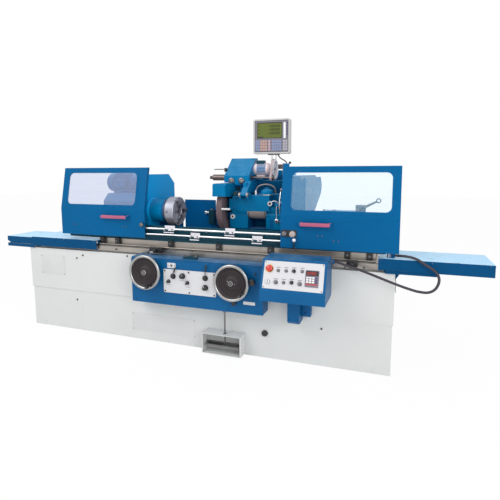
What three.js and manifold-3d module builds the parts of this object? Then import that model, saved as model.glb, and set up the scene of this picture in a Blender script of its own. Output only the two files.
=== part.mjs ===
// Cylindrical grinding machine, built in millimetres with +Z up.
// +X runs along the bed to the operator's right, and the operator stands at -Y.
// The origin is the middle of the front bed's flat underside.
import * as THREE from "three";
import { mergeVertices } from "three/addons/utils/BufferGeometryUtils.js";
import Module from "manifold-3d";

const wasm = await Module();
wasm.setup();

// Clearances shared by every piece
const seat = 0.3;
const running = 0.3;
const overrun = 5;

// Bed: a long front bed under the table and a rear bed under the wheelhead
const bed = {
  length: 2980, depth: 460, height: 684, seam: 340, inset: 6, wall: 32, roof: 40, ribWidth: 90,
};
const rearBed = { left: -150, right: 950, depth: 990, seam: 340 };
const bedWays = { endInset: 70, veeFromFront: 70, veePeak: 40, flatFromFront: 190, flatWidth: 60 };
const rearWays = { gap: 620, width: 90, height: 16, start: 40, endInset: 30, middle: 400 };
const frontY = -bed.depth / 2;

// Table that carries everything between the guards
const table = { left: -775, right: 1386, depth: 280, bottom: 700, thickness: 57, edge: 4 };
const tableSlot = { below: 9, height: 10, depth: 14 };
const swivelPin = { radius: 22, height: 14, sides: 24 };
const upperTable = { inset: 16, front: 50, thickness: 79, bevelDepth: 46, bevelDrop: 22, lipHeight: 34 };
const tableGuard = {
  leftLength: 670, rightLength: 650, bottom: 706, top: 780, overhang: 20, sheet: 2.5, flange: 12, flangeRise: 24,
  flangeInset: 12, extension: 285, lap: 15, endCut: 36, endCutRise: 18, nest: 8, nestRise: 10,
};
const tray = {
  length: 300, gap: 10, top: 712, inset: 8, sheet: 3, bracketDrop: 52, bracketWidth: 34,
  bracketInset: 40,
};
const tripDog = {
  leftStart: -277, leftLength: 109, rightStart: 1192, rightLength: 69, depth: 32, drop: 32,
};
const conduitBracket = {
  fromLeft: 50, width: 36, height: 30, thickness: 4, fromFront: 34, clip: 12, clipReach: 24,
  clipHeight: 24,
};

// Apron with its knob plate, wheels and levers
const apron = { left: -379, right: 655, depth: 120, bottom: 355, top: 698, bevel: 12 };
const knobPlate = { left: -100, right: 315, bottom: 452, top: 625, thickness: 8, bevel: 6 };
const handwheel = {
  radius: 130, rim: 12, rimSet: 40, web: 7, hub: 30, hubLength: 60, shaft: 14, shaftIn: 60, gap: 0.6,
  gripRadius: 13, gripLength: 78, gripInset: 26, sides: 36, rimSides: 8,
};
const tableWheel = { x: -234, z: 597, gripAngle: -62 };
const infeedWheel = { x: 445, z: 575, gripAngle: -38 };
const hubShare = 0.8;
const gripShares = { tip: 0.7, front: 0.85, back: 0.4, neck: 0.2, neckRadius: 0.6 };
const leverHub = { radius: 13, length: 22, sides: 16 };
const tableLever = { x: -20, z: 577, armWidth: 9, armLength: 62, armAngle: 70, knob: 9 };
const speedLever = { x: 235, z: 583, armWidth: 9, armLength: 86, armAngle: 82, knob: 9 };
const plateKnob = { radius: 17, length: 24, sides: 20, skirt: 22, skirtLength: 6, edge: 2.4 };
const dwellKnob = { x: 56, z: 583 };
const flowKnob = { x: 235, z: 514 };
const reverser = {
  left: 33, right: 139, front: 75, back: 42, height: 13, pivot: 7, pivotIn: 20, hub: 17, hubHeight: 21,
  sides: 16,
};

// Control box, its bracket and what is pressed or turned on it
const box = {
  left: 690, right: 1100, back: 40, bottom: 520, top: 777, topFront: 222, lowFront: 300, nose: 70,
};
const boxArm = { left: 825, right: 905, depth: 120, bottom: 318, step: 60, edge: 20 };
const panelButton = {
  radius: 10, length: 12, collar: 14, collarLength: 5, stem: 6, stemIn: 16, sides: 20, travel: 5,
};
const stopButton = { radius: 21, length: 13, collar: 18, collarLength: 9, stem: 8, stemIn: 16, travel: 6 };
const selector = { radius: 13, length: 8, barWidth: 7, barLength: 12, barHalf: 11.7, stem: 5, stemIn: 14 };
const stopPlace = { x: 740, z: 719 };
const selectorPlaces = [
  { name: "selector_upper", x: 898, z: 713 },
  { name: "selector_lower", x: 890, z: 647 },
];
const buttonPlaces = [
  { name: "start_button", x: 790, z: 642 },
  { name: "pump_button", x: 941, z: 643 },
];

// Foot control under the apron
const pedalBox = { left: 184, right: 485, bottom: 18, top: 166, depth: 100, sheet: 4 };
const pedal = {
  stroke: 14, side: 16, height: 62, front: 8, thickness: 8, pin: 6, pinIn: 2, backGap: 30, sides: 16,
};
const pedalRod = {
  x: 351, fromFront: 60, radius: 6, collar: 13, collarHeight: 14, collarDrop: 14, rise: 40, lift: 2.2,
  sides: 16,
};

// Splash guarding that rides on the upper table
const gutter = { left: -1090, right: 1430, front: 22, back: 47, drop: 9.3, rise: 78.7, sheet: 4, lip: 12 };
const rail = {
  upperDrop: 18, lowerDrop: 63, radius: 7, fromFront: 8, left: -1060, right: 1425, sides: 12,
};
const railPost = {
  width: 26, reach: 11, edge: 2, upperPlaces: [-141, 353], lowerPlaces: [74, 563], endInset: 14,
};
const door = {
  bend: 1034, top: 1359, leanDegrees: 12, sheet: 4, front: -9, rimWidth: 26, bottomRim: 30, grip: 60,
  hookWidth: 40, hookInset: 140, hookThickness: 8, hookGap: 0.6,
};
const leftDoor = {
  left: -1120, right: -326, drop: 93, windowLeft: -1062, windowRight: -412, gripLeft: -711,
  gripRight: -462,
};
const rightDoor = {
  left: 745, right: 1508, drop: 103, windowLeft: 812, windowRight: 1457, gripLeft: 877, gripRight: 1091,
};
const stile = { width: 42, rise: 20 };
const windowPane = { bottomGap: 33, topGap: 39, thickness: 5 };
const handle = { z: 978, stand: 22, thickness: 14, height: 18, post: 16 };

// Workhead with its motor, end panel and chuck
const axisLine = { fromFront: 190, z: 1017 };
const workhead = {
  left: -785, right: -373, front: 104, back: 440, top: 1150, shoulder: 60, plinth: 46, nose: 90,
  noseGap: 3,
};
const workMotor = {
  left: -820, right: -520, fromFront: 262, radius: 78, foot: 10, footWidth: 110, footInset: 32,
  sides: 24, cap: 16,
};
const endPanel = {
  front: 123, rear: 536, bottom: 838, top: 1306, topRear: 444, chamferTop: 1227, sheet: 4,
};
const chuck = {
  radius: 112, backPlate: 98, backLength: 24, rear: -228, face: -130, bore: 29, spindle: 45, spindleEnd: -420,
  chamfer: 4, sides: 48, jawCount: 3, jawStart: 30,
};
const jaw = { width: 24, inner: 34, outer: 104, proud: 22, step: 10, stepRadius: 70, slotDepth: 22 };

// Tailstock
const tailstock = {
  left: 1010, right: 1227, front: 96, back: 292, top: 1056, foot: 46, waist: 92, round: 23,
  bodyFront: 128, bodyBack: 252, bore: 30,
};
const quill = {
  tip: 910, rear: 1208, coneLength: 52, coneMid: 26, neck: 14, nose: 22, taper: 21, sides: 24,
};
const tailLever = {
  hub: 20, hubLength: 12, pin: 6, lugWidth: 24, lugReach: 60, lugUp: 17, lugDown: 47, rise: 62, out: 44,
  armWidth: 16, armThickness: 8, armLength: 112, ring: 17, ringBore: 9, slope: 27,
};

// Wheelhead
const saddle = { left: 30, right: 790, front: 520, rearInset: 50 };
const head = {
  left: 202, right: 640, front: 560, back: 1240, bottom: 800, top: 1134, nose: 480, plateBottom: 1003, recess: 150,
  plateLeft: 206, plateRight: 520,
};
const headPivot = { x: 400, fromFront: 960, radius: 60, height: 14, sides: 32 };
const bearing = {
  leftStart: 174, leftEnd: 333, rightStart: 492, rightEnd: 628, front: 490, bottom: 857, top: 986,
  chamfer: 14,
};
const spindleSleeve = { radius: 84, taper: 18, bore: 38, sides: 32 };
const wheel = { radius: 200, left: 106, width: 50, bore: 101.6, sides: 72 };
const wheelAxis = { fromFront: 562, z: 1017 };
const spindle = {
  nose: 85, radius: 37.6, collarEnd: 172, flange: 122, flangeWidth: 10, nut: 34, right: 706, pulley: 76,
  pulleyWidth: 44, sides: 36,
};
const wheelGuard = {
  left: 88, front: 332, frontTop: 345, back: 786, top: 1229, frontBottom: 1127, innerFront: 632,
  bottom: 836, sheet: 5, step: 20,
};
const nozzle = { pipe: 6, fromFront: 350, barLeft: 161, barRight: 232, barRadius: 7.5, z: 1026, sides: 12 };
const wheelMotor = {
  left: 236, right: 600, fromFront: 1090, radius: 84, foot: 12, footWidth: 150, footInset: 24, sides: 28,
  shaft: 19,
};
const motorPulley = { radius: 44, width: 44, sides: 32, right: 702 };
const beltGuard = {
  right: 822, front: 452, back: 1208, bottom: 905, leftTop: 1290, notch: 791, notchFloor: 1243,
  notchHalf: 16, rightTop: 1274, topBack: 1118, shoulder: 1200, slantTop: 1122, slantBack: 1166,
  slantEnd: 673, sheet: 4,
};
const coolantPipe = {
  x: 616, riserIn: 33, domeIn: 24, elbowDrop: 55, radius: 11, dome: 16.5, top: 1177, sides: 12,
};

// Internal grinding attachment that flips over the front of the wheelhead
const hinge = {
  x: 326, length: 78, fromFront: 412, z: 1139.5, radius: 11, pin: 6, ear: 14, earDrop: 33, sides: 20,
};
const attachment = {
  left: 113, right: 331, noseFront: 525, noseTop: 1291, noseBottom: 1215, topFront: 705, top: 1438, back: 770,
  low: 1165, backRise: 120, floorIn: 90, web: 60, lugHalf: 30, bore: 27,
};
const attachmentSpindle = {
  fromFront: 600, z: 1274, radius: 26.6, left: -20, quill: 9, quillLeft: -48, tip: 14, tipLength: 20,
  right: 520, pulley: 25, pulleyWidth: 30, sides: 24,
};
const attachmentMotor = {
  left: 345, right: 470, fromFront: 690, z: 1342, radius: 52, foot: 14, shaft: 12, sides: 24,
};
const attachmentPulley = {
  radius: 84, width: 26, left: 490, cone: 6.5, web: 13, hub: 24, bore: 36, sides: 32,
};

// Belts round their pulleys
const belt = { gap: 1, thickness: 5, inset: 4, sides: 18 };
const smallBelt = { thickness: 2.5 };

// Read-out on its post
const readout = { left: 294, right: 616, front: 750, back: 830, bottom: 1475, top: 1770, corner: 12 };
const post = { x: 560, fromFront: 850, radius: 26, top: 1386, sides: 24, collar: 36, collarHeight: 18 };
const arm = { height: 40, width: 46, riser: 18, kneeWidth: 36, left: 452 };

// Plain fixed panel behind the chuck
const splash = {
  left: -291, right: 8, fromFront: 580, bottom: 800, top: 1080, sheet: 4, legInset: 30, legWidth: 60,
  flange: 40,
};

// Flexible conduit from behind the control box to the right table guard
const conduit = { radius: 8, sides: 10, steps: 60 };
const conduitRoute = [
  [1120.3, -302, 750], [1138, -302, 750], [1187, -300, 734], [1261, -300, 714], [1341, -300, 688], [1419, -300, 661],
  [1490, -300, 637], [1560, -298, 615], [1623, -296, 600], [1679, -294, 599], [1717, -290, 621], [1736, -286, 662],
  [1733, -282, 700], [1707, -280, 734], [1664, -274, 760], [1615, -266, 790], [1560, -234, 799], [1502, -206, 796],
  [1484.3, -206, 796],
];
const gland = { radius: 14, length: 20, y: -302, z: 750 };

// Colours sampled from the photographed surfaces, with roughness and metalness
const looks = {
  white: [0xd8dadb, 0.55, 0.1],
  blue: [0x06568a, 0.4, 0.1],
  teal: [0x173a46, 0.5, 0.2],
  steel: [0xa9adb0, 0.32, 0.9],
  dark: [0x24282b, 0.5, 0.4],
  rim: [0xc9ccce, 0.25, 0.9],
  red: [0xb3202a, 0.45, 0],
  stone: [0x70423a, 0.9, 0],
  glass: [0xbfd0d6, 0.1, 0],
  black: [0x17181a, 0.5, 0],
  cream: [0xd9d8cf, 0.5, 0],
  conduit: [0x8d8894, 0.6, 0.2],
};

// Turns a closed three.js geometry into a solid that can be joined and cut.
function solid(geometry) {
  const bare = geometry.index ? geometry.toNonIndexed() : geometry.clone();
  bare.deleteAttribute("normal");
  bare.deleteAttribute("uv");
  const merged = mergeVertices(bare, 1e-3);
  return new wasm.Manifold(
    new wasm.Mesh({
      numProp: 3,
      vertProperties: merged.attributes.position.array,
      triVerts: new Uint32Array(merged.index.array),
    }),
  );
}

// Box between two corners.
function block(x0, x1, y0, y1, z0, z1) {
  const geometry = new THREE.BoxGeometry(x1 - x0, y1 - y0, z1 - z0);
  geometry.translate((x0 + x1) / 2, (y0 + y1) / 2, (z0 + z1) / 2);
  return solid(geometry);
}

// Matrices that carry a shape drawn in a plane, and its depth, to run along X, Y or Z.
const along = {
  x: new THREE.Matrix4().set(0, 0, 1, 0, 1, 0, 0, 0, 0, 1, 0, 0, 0, 0, 0, 1),
  y: new THREE.Matrix4().set(1, 0, 0, 0, 0, 0, -1, 0, 0, 1, 0, 0, 0, 0, 0, 1),
  z: new THREE.Matrix4(),
};

// Outline of points pushed along an axis: points are (y, z) for x, (x, z) for y and (x, y) for z.
function prism(axis, points, from, to) {
  const shape = new THREE.Shape(points.map(([u, v]) => new THREE.Vector2(u, v)));
  const geometry = new THREE.ExtrudeGeometry(shape, { depth: to - from, bevelEnabled: false });
  geometry.translate(0, 0, axis === "y" ? -to : from);
  return solid(geometry.applyMatrix4(along[axis]));
}

// Turned shape about a line along an axis; the profile is (distance along, radius), from low to high.
function turned(axis, profile, sides, u, v) {
  const points = profile.map(([a, r]) => new THREE.Vector2(r, a));
  const geometry = new THREE.LatheGeometry(points, sides);
  if (axis === "x") {
    geometry.rotateZ(-Math.PI / 2);
    geometry.translate(0, u, v);
  } else if (axis === "z") {
    geometry.rotateX(Math.PI / 2);
    geometry.translate(u, v, 0);
  } else {
    geometry.translate(u, 0, v);
  }
  return solid(geometry);
}

// Plain round bar along an axis.
function bar(axis, radius, from, to, sides, u, v) {
  return turned(axis, [[from, 0], [from, radius], [to, radius], [to, 0]], sides, u, v);
}

const join = (...pieces) => pieces.reduce((a, b) => a.add(b));
const cut = (piece, ...tools) => tools.reduce((a, b) => a.subtract(b), piece);
const rad = (degrees) => THREE.MathUtils.degToRad(degrees);

// Turns a solid about a line, given by the line's direction and a point on it.
function turn(piece, axis, degrees, point) {
  const at = new THREE.Vector3(...point);
  const m = new THREE.Matrix4().makeTranslation(at);
  m.multiply(new THREE.Matrix4().makeRotationAxis(axis, rad(degrees)));
  m.multiply(new THREE.Matrix4().makeTranslation(at.clone().negate()));
  return solid(geometryOf(piece).applyMatrix4(m));
}

// Geometry of a solid, ready for a mesh.
function geometryOf(piece) {
  const made = piece.getMesh();
  const positions = new Float32Array(made.numVert * 3);
  for (let i = 0; i < made.numVert; i++) {
    for (let k = 0; k < 3; k++) positions[i * 3 + k] = made.vertProperties[i * made.numProp + k];
  }
  const geometry = new THREE.BufferGeometry();
  geometry.setAttribute("position", new THREE.BufferAttribute(positions, 3));
  geometry.setIndex(new THREE.BufferAttribute(made.triVerts, 1));
  return geometry;
}

const group = new THREE.Group();

// Adds one named mesh to the group.
function add(name, look, piece) {
  const [color, roughness, metalness] = looks[look];
  const material = new THREE.MeshStandardMaterial({ color, roughness, metalness, flatShading: true });
  const mesh = new THREE.Mesh(geometryOf(piece), material);
  mesh.name = name;
  group.add(mesh);
}

// Distances counted back from the bed's front face.
const back = (fromFront) => frontY + fromFront;

// Places worked out from the sizes above
const tableMiddle = (table.left + table.right) / 2;
const upperMiddle = (upperTable.front + table.depth) / 2;
const tableTop = table.bottom + table.thickness;
const deck = tableTop + seat + upperTable.thickness;
const wayEnd = bed.length / 2 - bedWays.endInset;
const saddleBack = back(bed.depth + rearBed.depth - saddle.rearInset);
const gutterBottom = deck - gutter.drop;
const gutterTop = deck + gutter.rise;
const railZ = { upper: gutterTop - rail.upperDrop, lower: gutterTop - rail.lowerDrop };
const reverserX = (reverser.left + reverser.right) / 2;
const reverserY = -(reverser.front + reverser.back) / 2;
const pedalPivotY = back(-pedal.backGap) + bed.inset;
const pedalPivotZ = pedalBox.bottom + pedal.height;
const leverPivot = { x: tailstock.right + tailLever.out, z: axisLine.z + tailLever.rise };
const headBottom = head.bottom + running;
const hoodRight = head.left - seat;
const motorZ = head.top + seat + wheelMotor.foot + wheelMotor.radius;

// Bed casting, open underneath between its ribs
function baseCasting() {
  const half = bed.length / 2;
  const rearY = back(bed.depth + rearBed.depth);
  const low = join(
    block(-half + bed.inset, half - bed.inset, back(bed.inset), back(bed.depth - bed.inset), 0, bed.seam + seat),
    block(rearBed.left + bed.inset, rearBed.right - bed.inset, 0, rearY - bed.inset, 0, rearBed.seam + seat),
  );
  const high = join(
    block(-half, half, back(0), back(bed.depth), bed.seam, bed.height),
    block(rearBed.left, rearBed.right, 0, rearY, bed.seam, bed.height),
  );
  const inner = { y0: back(bed.wall), y1: back(bed.depth - bed.wall), z1: bed.height - bed.roof };
  const pocket = (x0, x1, y0, y1) => block(x0, x1, y0, y1, -overrun, inner.z1);
  const pockets = [
    pocket(-half + bed.wall, -bed.ribWidth / 2, inner.y0, inner.y1),
    pocket(bed.ribWidth / 2, half - bed.wall, inner.y0, inner.y1),
    pocket(rearBed.left + bed.wall, rearBed.right - bed.wall, back(bed.depth + bed.wall), rearY - bed.wall),
  ];
  return cut(join(low, high, bedVee(), bedFlat(), rearWay(-1), rearWay(1)), ...pockets);
}

// Inverted vee way
function bedVee() {
  const y = back(bedWays.veeFromFront);
  const z = bed.height;
  const half = wayEnd;
  const peak = bedWays.veePeak;
  const points = [[y - peak, z - overrun], [y + peak, z - overrun], [y + peak, z], [y, z + peak], [y - peak, z]];
  return prism("x", points, -half, half);
}

// Flat way that carries the table's back edge
function bedFlat() {
  const half = wayEnd;
  const y = back(bedWays.flatFromFront);
  return block(-half, half, y, y + bedWays.flatWidth, bed.height - overrun, table.bottom - seat);
}

// Way of the rear bed, left for side -1 and right for side 1
function rearWay(side) {
  const x = rearWays.middle + (side * rearWays.gap) / 2;
  const y0 = back(bed.depth + rearWays.start);
  const y1 = back(bed.depth + rearBed.depth - rearWays.endInset);
  const z1 = bed.height + rearWays.height;
  return block(x - rearWays.width / 2, x + rearWays.width / 2, y0, y1, bed.height - overrun, z1);
}

// Lower table with its vee groove, trip-dog slot and swivel bore
function lowerTable() {
  const top = table.bottom + table.thickness;
  const body = block(table.left, table.right, back(0), back(table.depth), table.bottom, top);
  const slotTop = top - tableSlot.below;
  const slot = block(
    table.left - overrun, table.right + overrun,
    back(-overrun), back(tableSlot.depth), slotTop - tableSlot.height, slotTop,
  );
  const pinHole = bar("z", swivelPin.radius + running, top - swivelPin.height - running, top + overrun,
    swivelPin.sides, tableMiddle, back(upperMiddle));
  const edges = [back(0), back(table.depth)].map((y) =>
    turn(block(table.left - overrun, table.right + overrun, y - table.edge / 2, y + table.edge / 2,
      top - table.edge / 2, top + table.edge / 2), new THREE.Vector3(1, 0, 0), 45, [0, y, top]));
  return cut(body, veeGroove(), slot, pinHole, ...edges);
}

// Groove over the vee way, run out past both ends of the table
function veeGroove() {
  const y = back(bedWays.veeFromFront);
  const z = bed.height + running * 2;
  const peak = bedWays.veePeak;
  const points = [[y - peak, z], [y + peak, z], [y, z + peak]];
  return prism("x", points, table.left - overrun, table.right + overrun);
}

// Upper table that swivels on the lower one
function upperTableBody() {
  const y0 = back(upperTable.front);
  const y1 = back(table.depth);
  const z0 = tableTop + seat;
  const points = [
    [y0, z0], [y1, z0], [y1, deck], [y0 + upperTable.bevelDepth, deck],
    [y0, deck - upperTable.bevelDrop], [y0, z0 + upperTable.lipHeight],
  ];
  const body = prism("x", points, table.left + upperTable.inset, table.right - upperTable.inset);
  const pin = bar("z", swivelPin.radius, tableTop - swivelPin.height + seat, z0 + overrun,
    swivelPin.sides, tableMiddle, back(upperMiddle));
  return join(body, pin);
}

// Sheet guard over the bed ways at one end of the table
function tableGuardBody(side) {
  const g = tableGuard;
  const x0 = side < 0 ? table.left - seat - g.leftLength : table.right + seat;
  const x1 = side < 0 ? table.left - seat : x0 + g.rightLength;
  const shell = guardShell(x0, x1, 0, g.bottom);
  const plateX = side < 0 ? x1 - g.flange : x0;
  const plate = block(plateX, plateX + g.flange, back(g.flangeInset), back(table.depth - g.flangeInset),
    g.bottom + g.flangeRise, g.top);
  return side < 0 ? join(shell, plate, guardExtension(x0)) : join(shell, plate, conduitBracketBody());
}

// Folded sheet open underneath and at both ends, drawn in by an inset
function guardShell(x0, x1, inset, bottom) {
  const g = tableGuard;
  const y0 = back(inset - g.overhang);
  const y1 = back(table.depth + g.overhang - inset);
  const top = g.top - inset;
  return cut(
    block(x0, x1, y0, y1, bottom, top),
    block(x0 - overrun, x1 + overrun, y0 + g.sheet, y1 - g.sheet, bottom - overrun, top - g.sheet),
  );
}

// Second length of the left guard, set in from the first, joined by a lip and cut away at its far lower corner
function guardExtension(inner) {
  const g = tableGuard;
  const outer = inner - g.extension;
  const bottom = g.bottom + g.nestRise;
  const shell = guardShell(outer, inner + g.lap, g.nest, bottom);
  const corner = [[outer - overrun, bottom - overrun], [outer + g.endCut, bottom - overrun]];
  corner.push([outer + g.endCut, bottom], [outer, bottom + g.endCutRise], [outer - overrun, bottom + g.endCutRise]);
  const far = prism("y", corner, back(-g.overhang - overrun), back(table.depth + g.overhang + overrun));
  return join(cut(shell, far), guardLip(inner, bottom));
}

// Lip that closes the step between the two lengths of the left guard
function guardLip(inner, bottom) {
  const g = tableGuard;
  const outline = (inset, low) => [back(inset - g.overhang), back(table.depth + g.overhang - inset), low, g.top - inset];
  const [y0, y1, z0, z1] = outline(g.sheet / 2, bottom);
  const [h0, h1, l0, l1] = outline(g.nest + g.sheet / 2, bottom - overrun);
  const x1 = inner + g.sheet;
  return cut(block(inner, x1, y0, y1, z0, z1), block(inner - overrun, x1 + overrun, h0, h1, l0, l1));
}

// Shallow drip tray fixed to the bed's end, open at its inner end and nested inside the guard
function bedTray(side) {
  const inner = wayEnd + tray.gap;
  const x0 = side < 0 ? -inner - tray.length : inner;
  const x1 = x0 + tray.length;
  const y0 = back(tray.inset - tableGuard.overhang);
  const y1 = back(table.depth + tableGuard.overhang - tray.inset);
  const z0 = bed.height + seat;
  const innerX0 = side < 0 ? x0 + tray.sheet : x0 - overrun;
  const innerX1 = side < 0 ? x1 + overrun : x1 - tray.sheet;
  const shell = cut(
    block(x0, x1, y0, y1, z0, tray.top),
    block(innerX0, innerX1, y0 + tray.sheet, y1 - tray.sheet, z0 + tray.sheet, tray.top + overrun),
  );
  const bedEnd = side * (bed.length / 2 + seat);
  const tip = bedEnd + side * tray.bracketWidth;
  const points = [[bedEnd, z0 + seat], [tip, z0 + seat], [bedEnd, z0 - tray.bracketDrop]];
  return join(shell, prism("y", points, back(tray.bracketInset), back(table.depth - tray.bracketInset)));
}

// Trip dog clamped in the table's front slot
function tripDogBody(start, length) {
  const slotTop = tableTop - tableSlot.below;
  const tongue = block(start, start + length, back(-overrun), back(tableSlot.depth - running),
    slotTop - tableSlot.height + running, slotTop - running);
  const body = block(start, start + length, back(-tripDog.depth), back(-running), slotTop - tripDog.drop, tableTop - seat);
  return join(body, tongue);
}

// Apron with the bores of its wheels and levers
function apronBody() {
  const y0 = back(-apron.depth);
  const y1 = back(-seat);
  const b = apron.bevel;
  const points = [[y0, apron.bottom], [y1, apron.bottom], [y1, apron.top], [y0 + b, apron.top], [y0, apron.top - b]];
  const body = prism("x", points, apron.left, apron.right);
  const bore = (place, radius, depth, sides) =>
    bar("y", radius + running, y0 - overrun, y0 + depth + running, sides, place.x, place.z);
  const pivot = bar("z", reverser.pivot + running, apron.top - reverser.pivotIn - running, apron.top + overrun,
    reverser.sides, reverserX, back(reverserY));
  const rodHole = bar("z", pedalRod.radius + running, apron.bottom - overrun, apron.bottom + pedalRod.rise + pedal.stroke,
    pedalRod.sides, pedalRod.x, back(-pedalRod.fromFront));
  return cut(
    body,
    bore(tableWheel, handwheel.shaft, handwheel.shaftIn, handwheel.sides),
    bore(infeedWheel, handwheel.shaft, handwheel.shaftIn, handwheel.sides),
    pivot, rodHole,
  );
}


// Raised plate that carries the levers and knobs
function knobPlateBody() {
  const y1 = back(-apron.depth - seat);
  const y0 = y1 - knobPlate.thickness;
  const b = knobPlate.bevel;
  const points = [
    [knobPlate.left, knobPlate.bottom + b], [knobPlate.left + b, knobPlate.bottom],
    [knobPlate.right - b, knobPlate.bottom], [knobPlate.right, knobPlate.bottom + b],
    [knobPlate.right, knobPlate.top - b], [knobPlate.right - b, knobPlate.top],
    [knobPlate.left + b, knobPlate.top], [knobPlate.left, knobPlate.top - b],
  ];
  return prism("y", points, y0, y1);
}

// Dished handwheel with its grip, shaft and hub
function handwheelBody(place) {
  const h = handwheel;
  const face = back(-apron.depth) - h.gap;
  const webBack = face - h.rimSet;
  const profile = [
    [face - h.hubLength, 0], [face - h.hubLength, h.hub * hubShare], [face - h.hubLength + h.rim / 2, h.hub],
    [webBack - h.web, h.hub + h.rim], [webBack - h.web, h.radius - h.rim - h.web],
    [webBack - h.web - h.rim, h.radius - h.rim], [webBack - h.web - h.rim / 2, h.radius],
    [webBack + h.rim / 2, h.radius], [webBack, h.radius - h.rim], [webBack, h.hub], [face, h.hub], [face, h.shaft],
    [face + h.shaftIn, h.shaft], [face + h.shaftIn, 0],
  ];
  const dish = turned("y", profile, h.sides, place.x, place.z);
  const gripX = place.x + (h.radius - h.gripInset) * Math.cos(rad(place.gripAngle));
  const gripZ = place.z + (h.radius - h.gripInset) * Math.sin(rad(place.gripAngle));
  const gripBack = webBack - h.web / 2;
  const neck = h.gripRadius * gripShares.neckRadius;
  const grip = turned("y", [
    [gripBack - h.gripLength, 0], [gripBack - h.gripLength, h.gripRadius * gripShares.tip],
    [gripBack - h.gripLength * gripShares.front, h.gripRadius], [gripBack - h.gripLength * gripShares.back, h.gripRadius],
    [gripBack - h.gripLength * gripShares.neck, neck], [gripBack, neck], [gripBack, 0],
  ], leverHub.sides, gripX, gripZ);
  return join(dish, grip);
}

// Lever on the knob plate: hub, slim arm and ball
function plateLever(place) {
  const y1 = back(-apron.depth - seat - knobPlate.thickness) - running;
  const y0 = y1 - leverHub.length;
  const hub = bar("y", leverHub.radius, y0, y1, leverHub.sides, place.x, place.z);
  const armY = (y0 + y1) / 2;
  const half = place.armWidth / 2;
  const rod = bar("x", half, place.x, place.x + place.armLength, leverHub.sides, armY, place.z);
  const ball = new THREE.SphereGeometry(place.knob, leverHub.sides, leverHub.sides / 2);
  ball.translate(place.x + place.armLength, armY, place.z);
  const armAndBall = join(rod, solid(ball));
  return join(hub, turn(armAndBall, new THREE.Vector3(0, -1, 0), place.armAngle, [place.x, armY, place.z]));
}

// Round knob with a skirt, turned on the knob plate
function plateKnobBody(place) {
  const y1 = back(-apron.depth - seat - knobPlate.thickness) - running;
  const k = plateKnob;
  const profile = [
    [y1 - k.length, 0], [y1 - k.length, k.radius - k.edge], [y1 - k.length + k.edge, k.radius],
    [y1 - k.skirtLength, k.radius], [y1 - k.skirtLength, k.skirt], [y1, k.skirt], [y1, 0],
  ];
  return turned("y", profile, k.sides, place.x, place.z);
}

// Reversing lever that the trip dogs work, on top of the apron
function reverserBody() {
  const z0 = apron.top + running;
  const y0 = back(-reverser.front);
  const y1 = back(-reverser.back);
  const arm = block(reverser.left, reverser.right, y0, y1, z0, z0 + reverser.height);
  const hub = bar("z", reverser.hub, z0, z0 + reverser.hubHeight, reverser.sides, reverserX, back(reverserY));
  const stem = bar("z", reverser.pivot, apron.top - reverser.pivotIn, z0 + overrun, reverser.sides, reverserX, back(reverserY));
  return join(arm, hub, stem);
}

// Sloping face of the control box: its angle, and the place on it at a height
const slope = {
  run: box.lowFront - box.topFront,
  rise: box.top - box.bottom - box.nose,
};
slope.degrees = THREE.MathUtils.radToDeg(Math.atan2(slope.run, slope.rise));
const slopeY = (z) => back(-box.topFront - ((box.top - z) * slope.run) / slope.rise);

// Moves a piece made with its seat at y = 0, z = 0 and facing -Y onto the sloping face.
function onSlope(piece, place) {
  const m = new THREE.Matrix4().makeTranslation(place.x, slopeY(place.z), place.z);
  m.multiply(new THREE.Matrix4().makeRotationX(-rad(slope.degrees)));
  return solid(geometryOf(piece).applyMatrix4(m));
}

// Control box with bores for its buttons
function controlBox() {
  const noseTop = box.bottom + box.nose;
  const points = [
    [back(-box.back), box.bottom], [back(-box.back), box.top], [back(-box.topFront), box.top],
    [back(-box.lowFront), noseTop], [back(-box.lowFront), box.bottom],
  ];
  const body = prism("x", points.reverse(), box.left, box.right);
  const bore = (place, kind) =>
    onSlope(bar("y", kind.stem + running, -overrun, kind.stemIn + stopButton.travel + running, panelButton.sides, 0, 0), place);
  const bores = [bore(stopPlace, stopButton)];
  for (const place of selectorPlaces) bores.push(bore(place, selector));
  for (const place of buttonPlaces) bores.push(bore(place, panelButton));
  const socket = bar("x", gland.radius, box.right - overrun, box.right + gland.length, conduit.sides, gland.y, gland.z);
  return cut(join(body, socket), ...bores);
}

// Bracket arm from the bed's front face up to the control box
function boxArmBody() {
  const y0 = back(-boxArm.depth);
  const y1 = back(-seat);
  const top = box.bottom - seat;
  const points = [
    [y1, boxArm.bottom], [y1, top], [y0 - boxArm.step, top], [y0 - boxArm.step, top - boxArm.edge],
    [y0, top - boxArm.step], [y0, boxArm.bottom + boxArm.edge], [y0 + boxArm.edge, boxArm.bottom],
  ];
  return prism("x", points.reverse(), boxArm.left, boxArm.right);
}

// Push button with a stem that slides in the panel
function pushButton(place, kind) {
  const gap = kind.travel + running;
  const head = bar("y", kind.radius, -gap - kind.length, -gap, panelButton.sides, 0, 0);
  const stem = bar("y", kind.stem, -gap - overrun, kind.stemIn, panelButton.sides, 0, 0);
  return onSlope(join(head, stem), place);
}

// Selector switch: a disc with a raised bar
function selectorBody(place) {
  const s = selector;
  const disc = bar("y", s.radius, -running - s.length, -running, panelButton.sides, 0, 0);
  const ridge = block(-s.barWidth / 2, s.barWidth / 2, -running - s.length - s.barLength, -running - s.length / 2,
    -s.barHalf, s.barHalf);
  const stem = bar("y", s.stem, -running - s.length / 2, s.stemIn, panelButton.sides, 0, 0);
  return onSlope(join(disc, ridge, stem), place);
}

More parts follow.
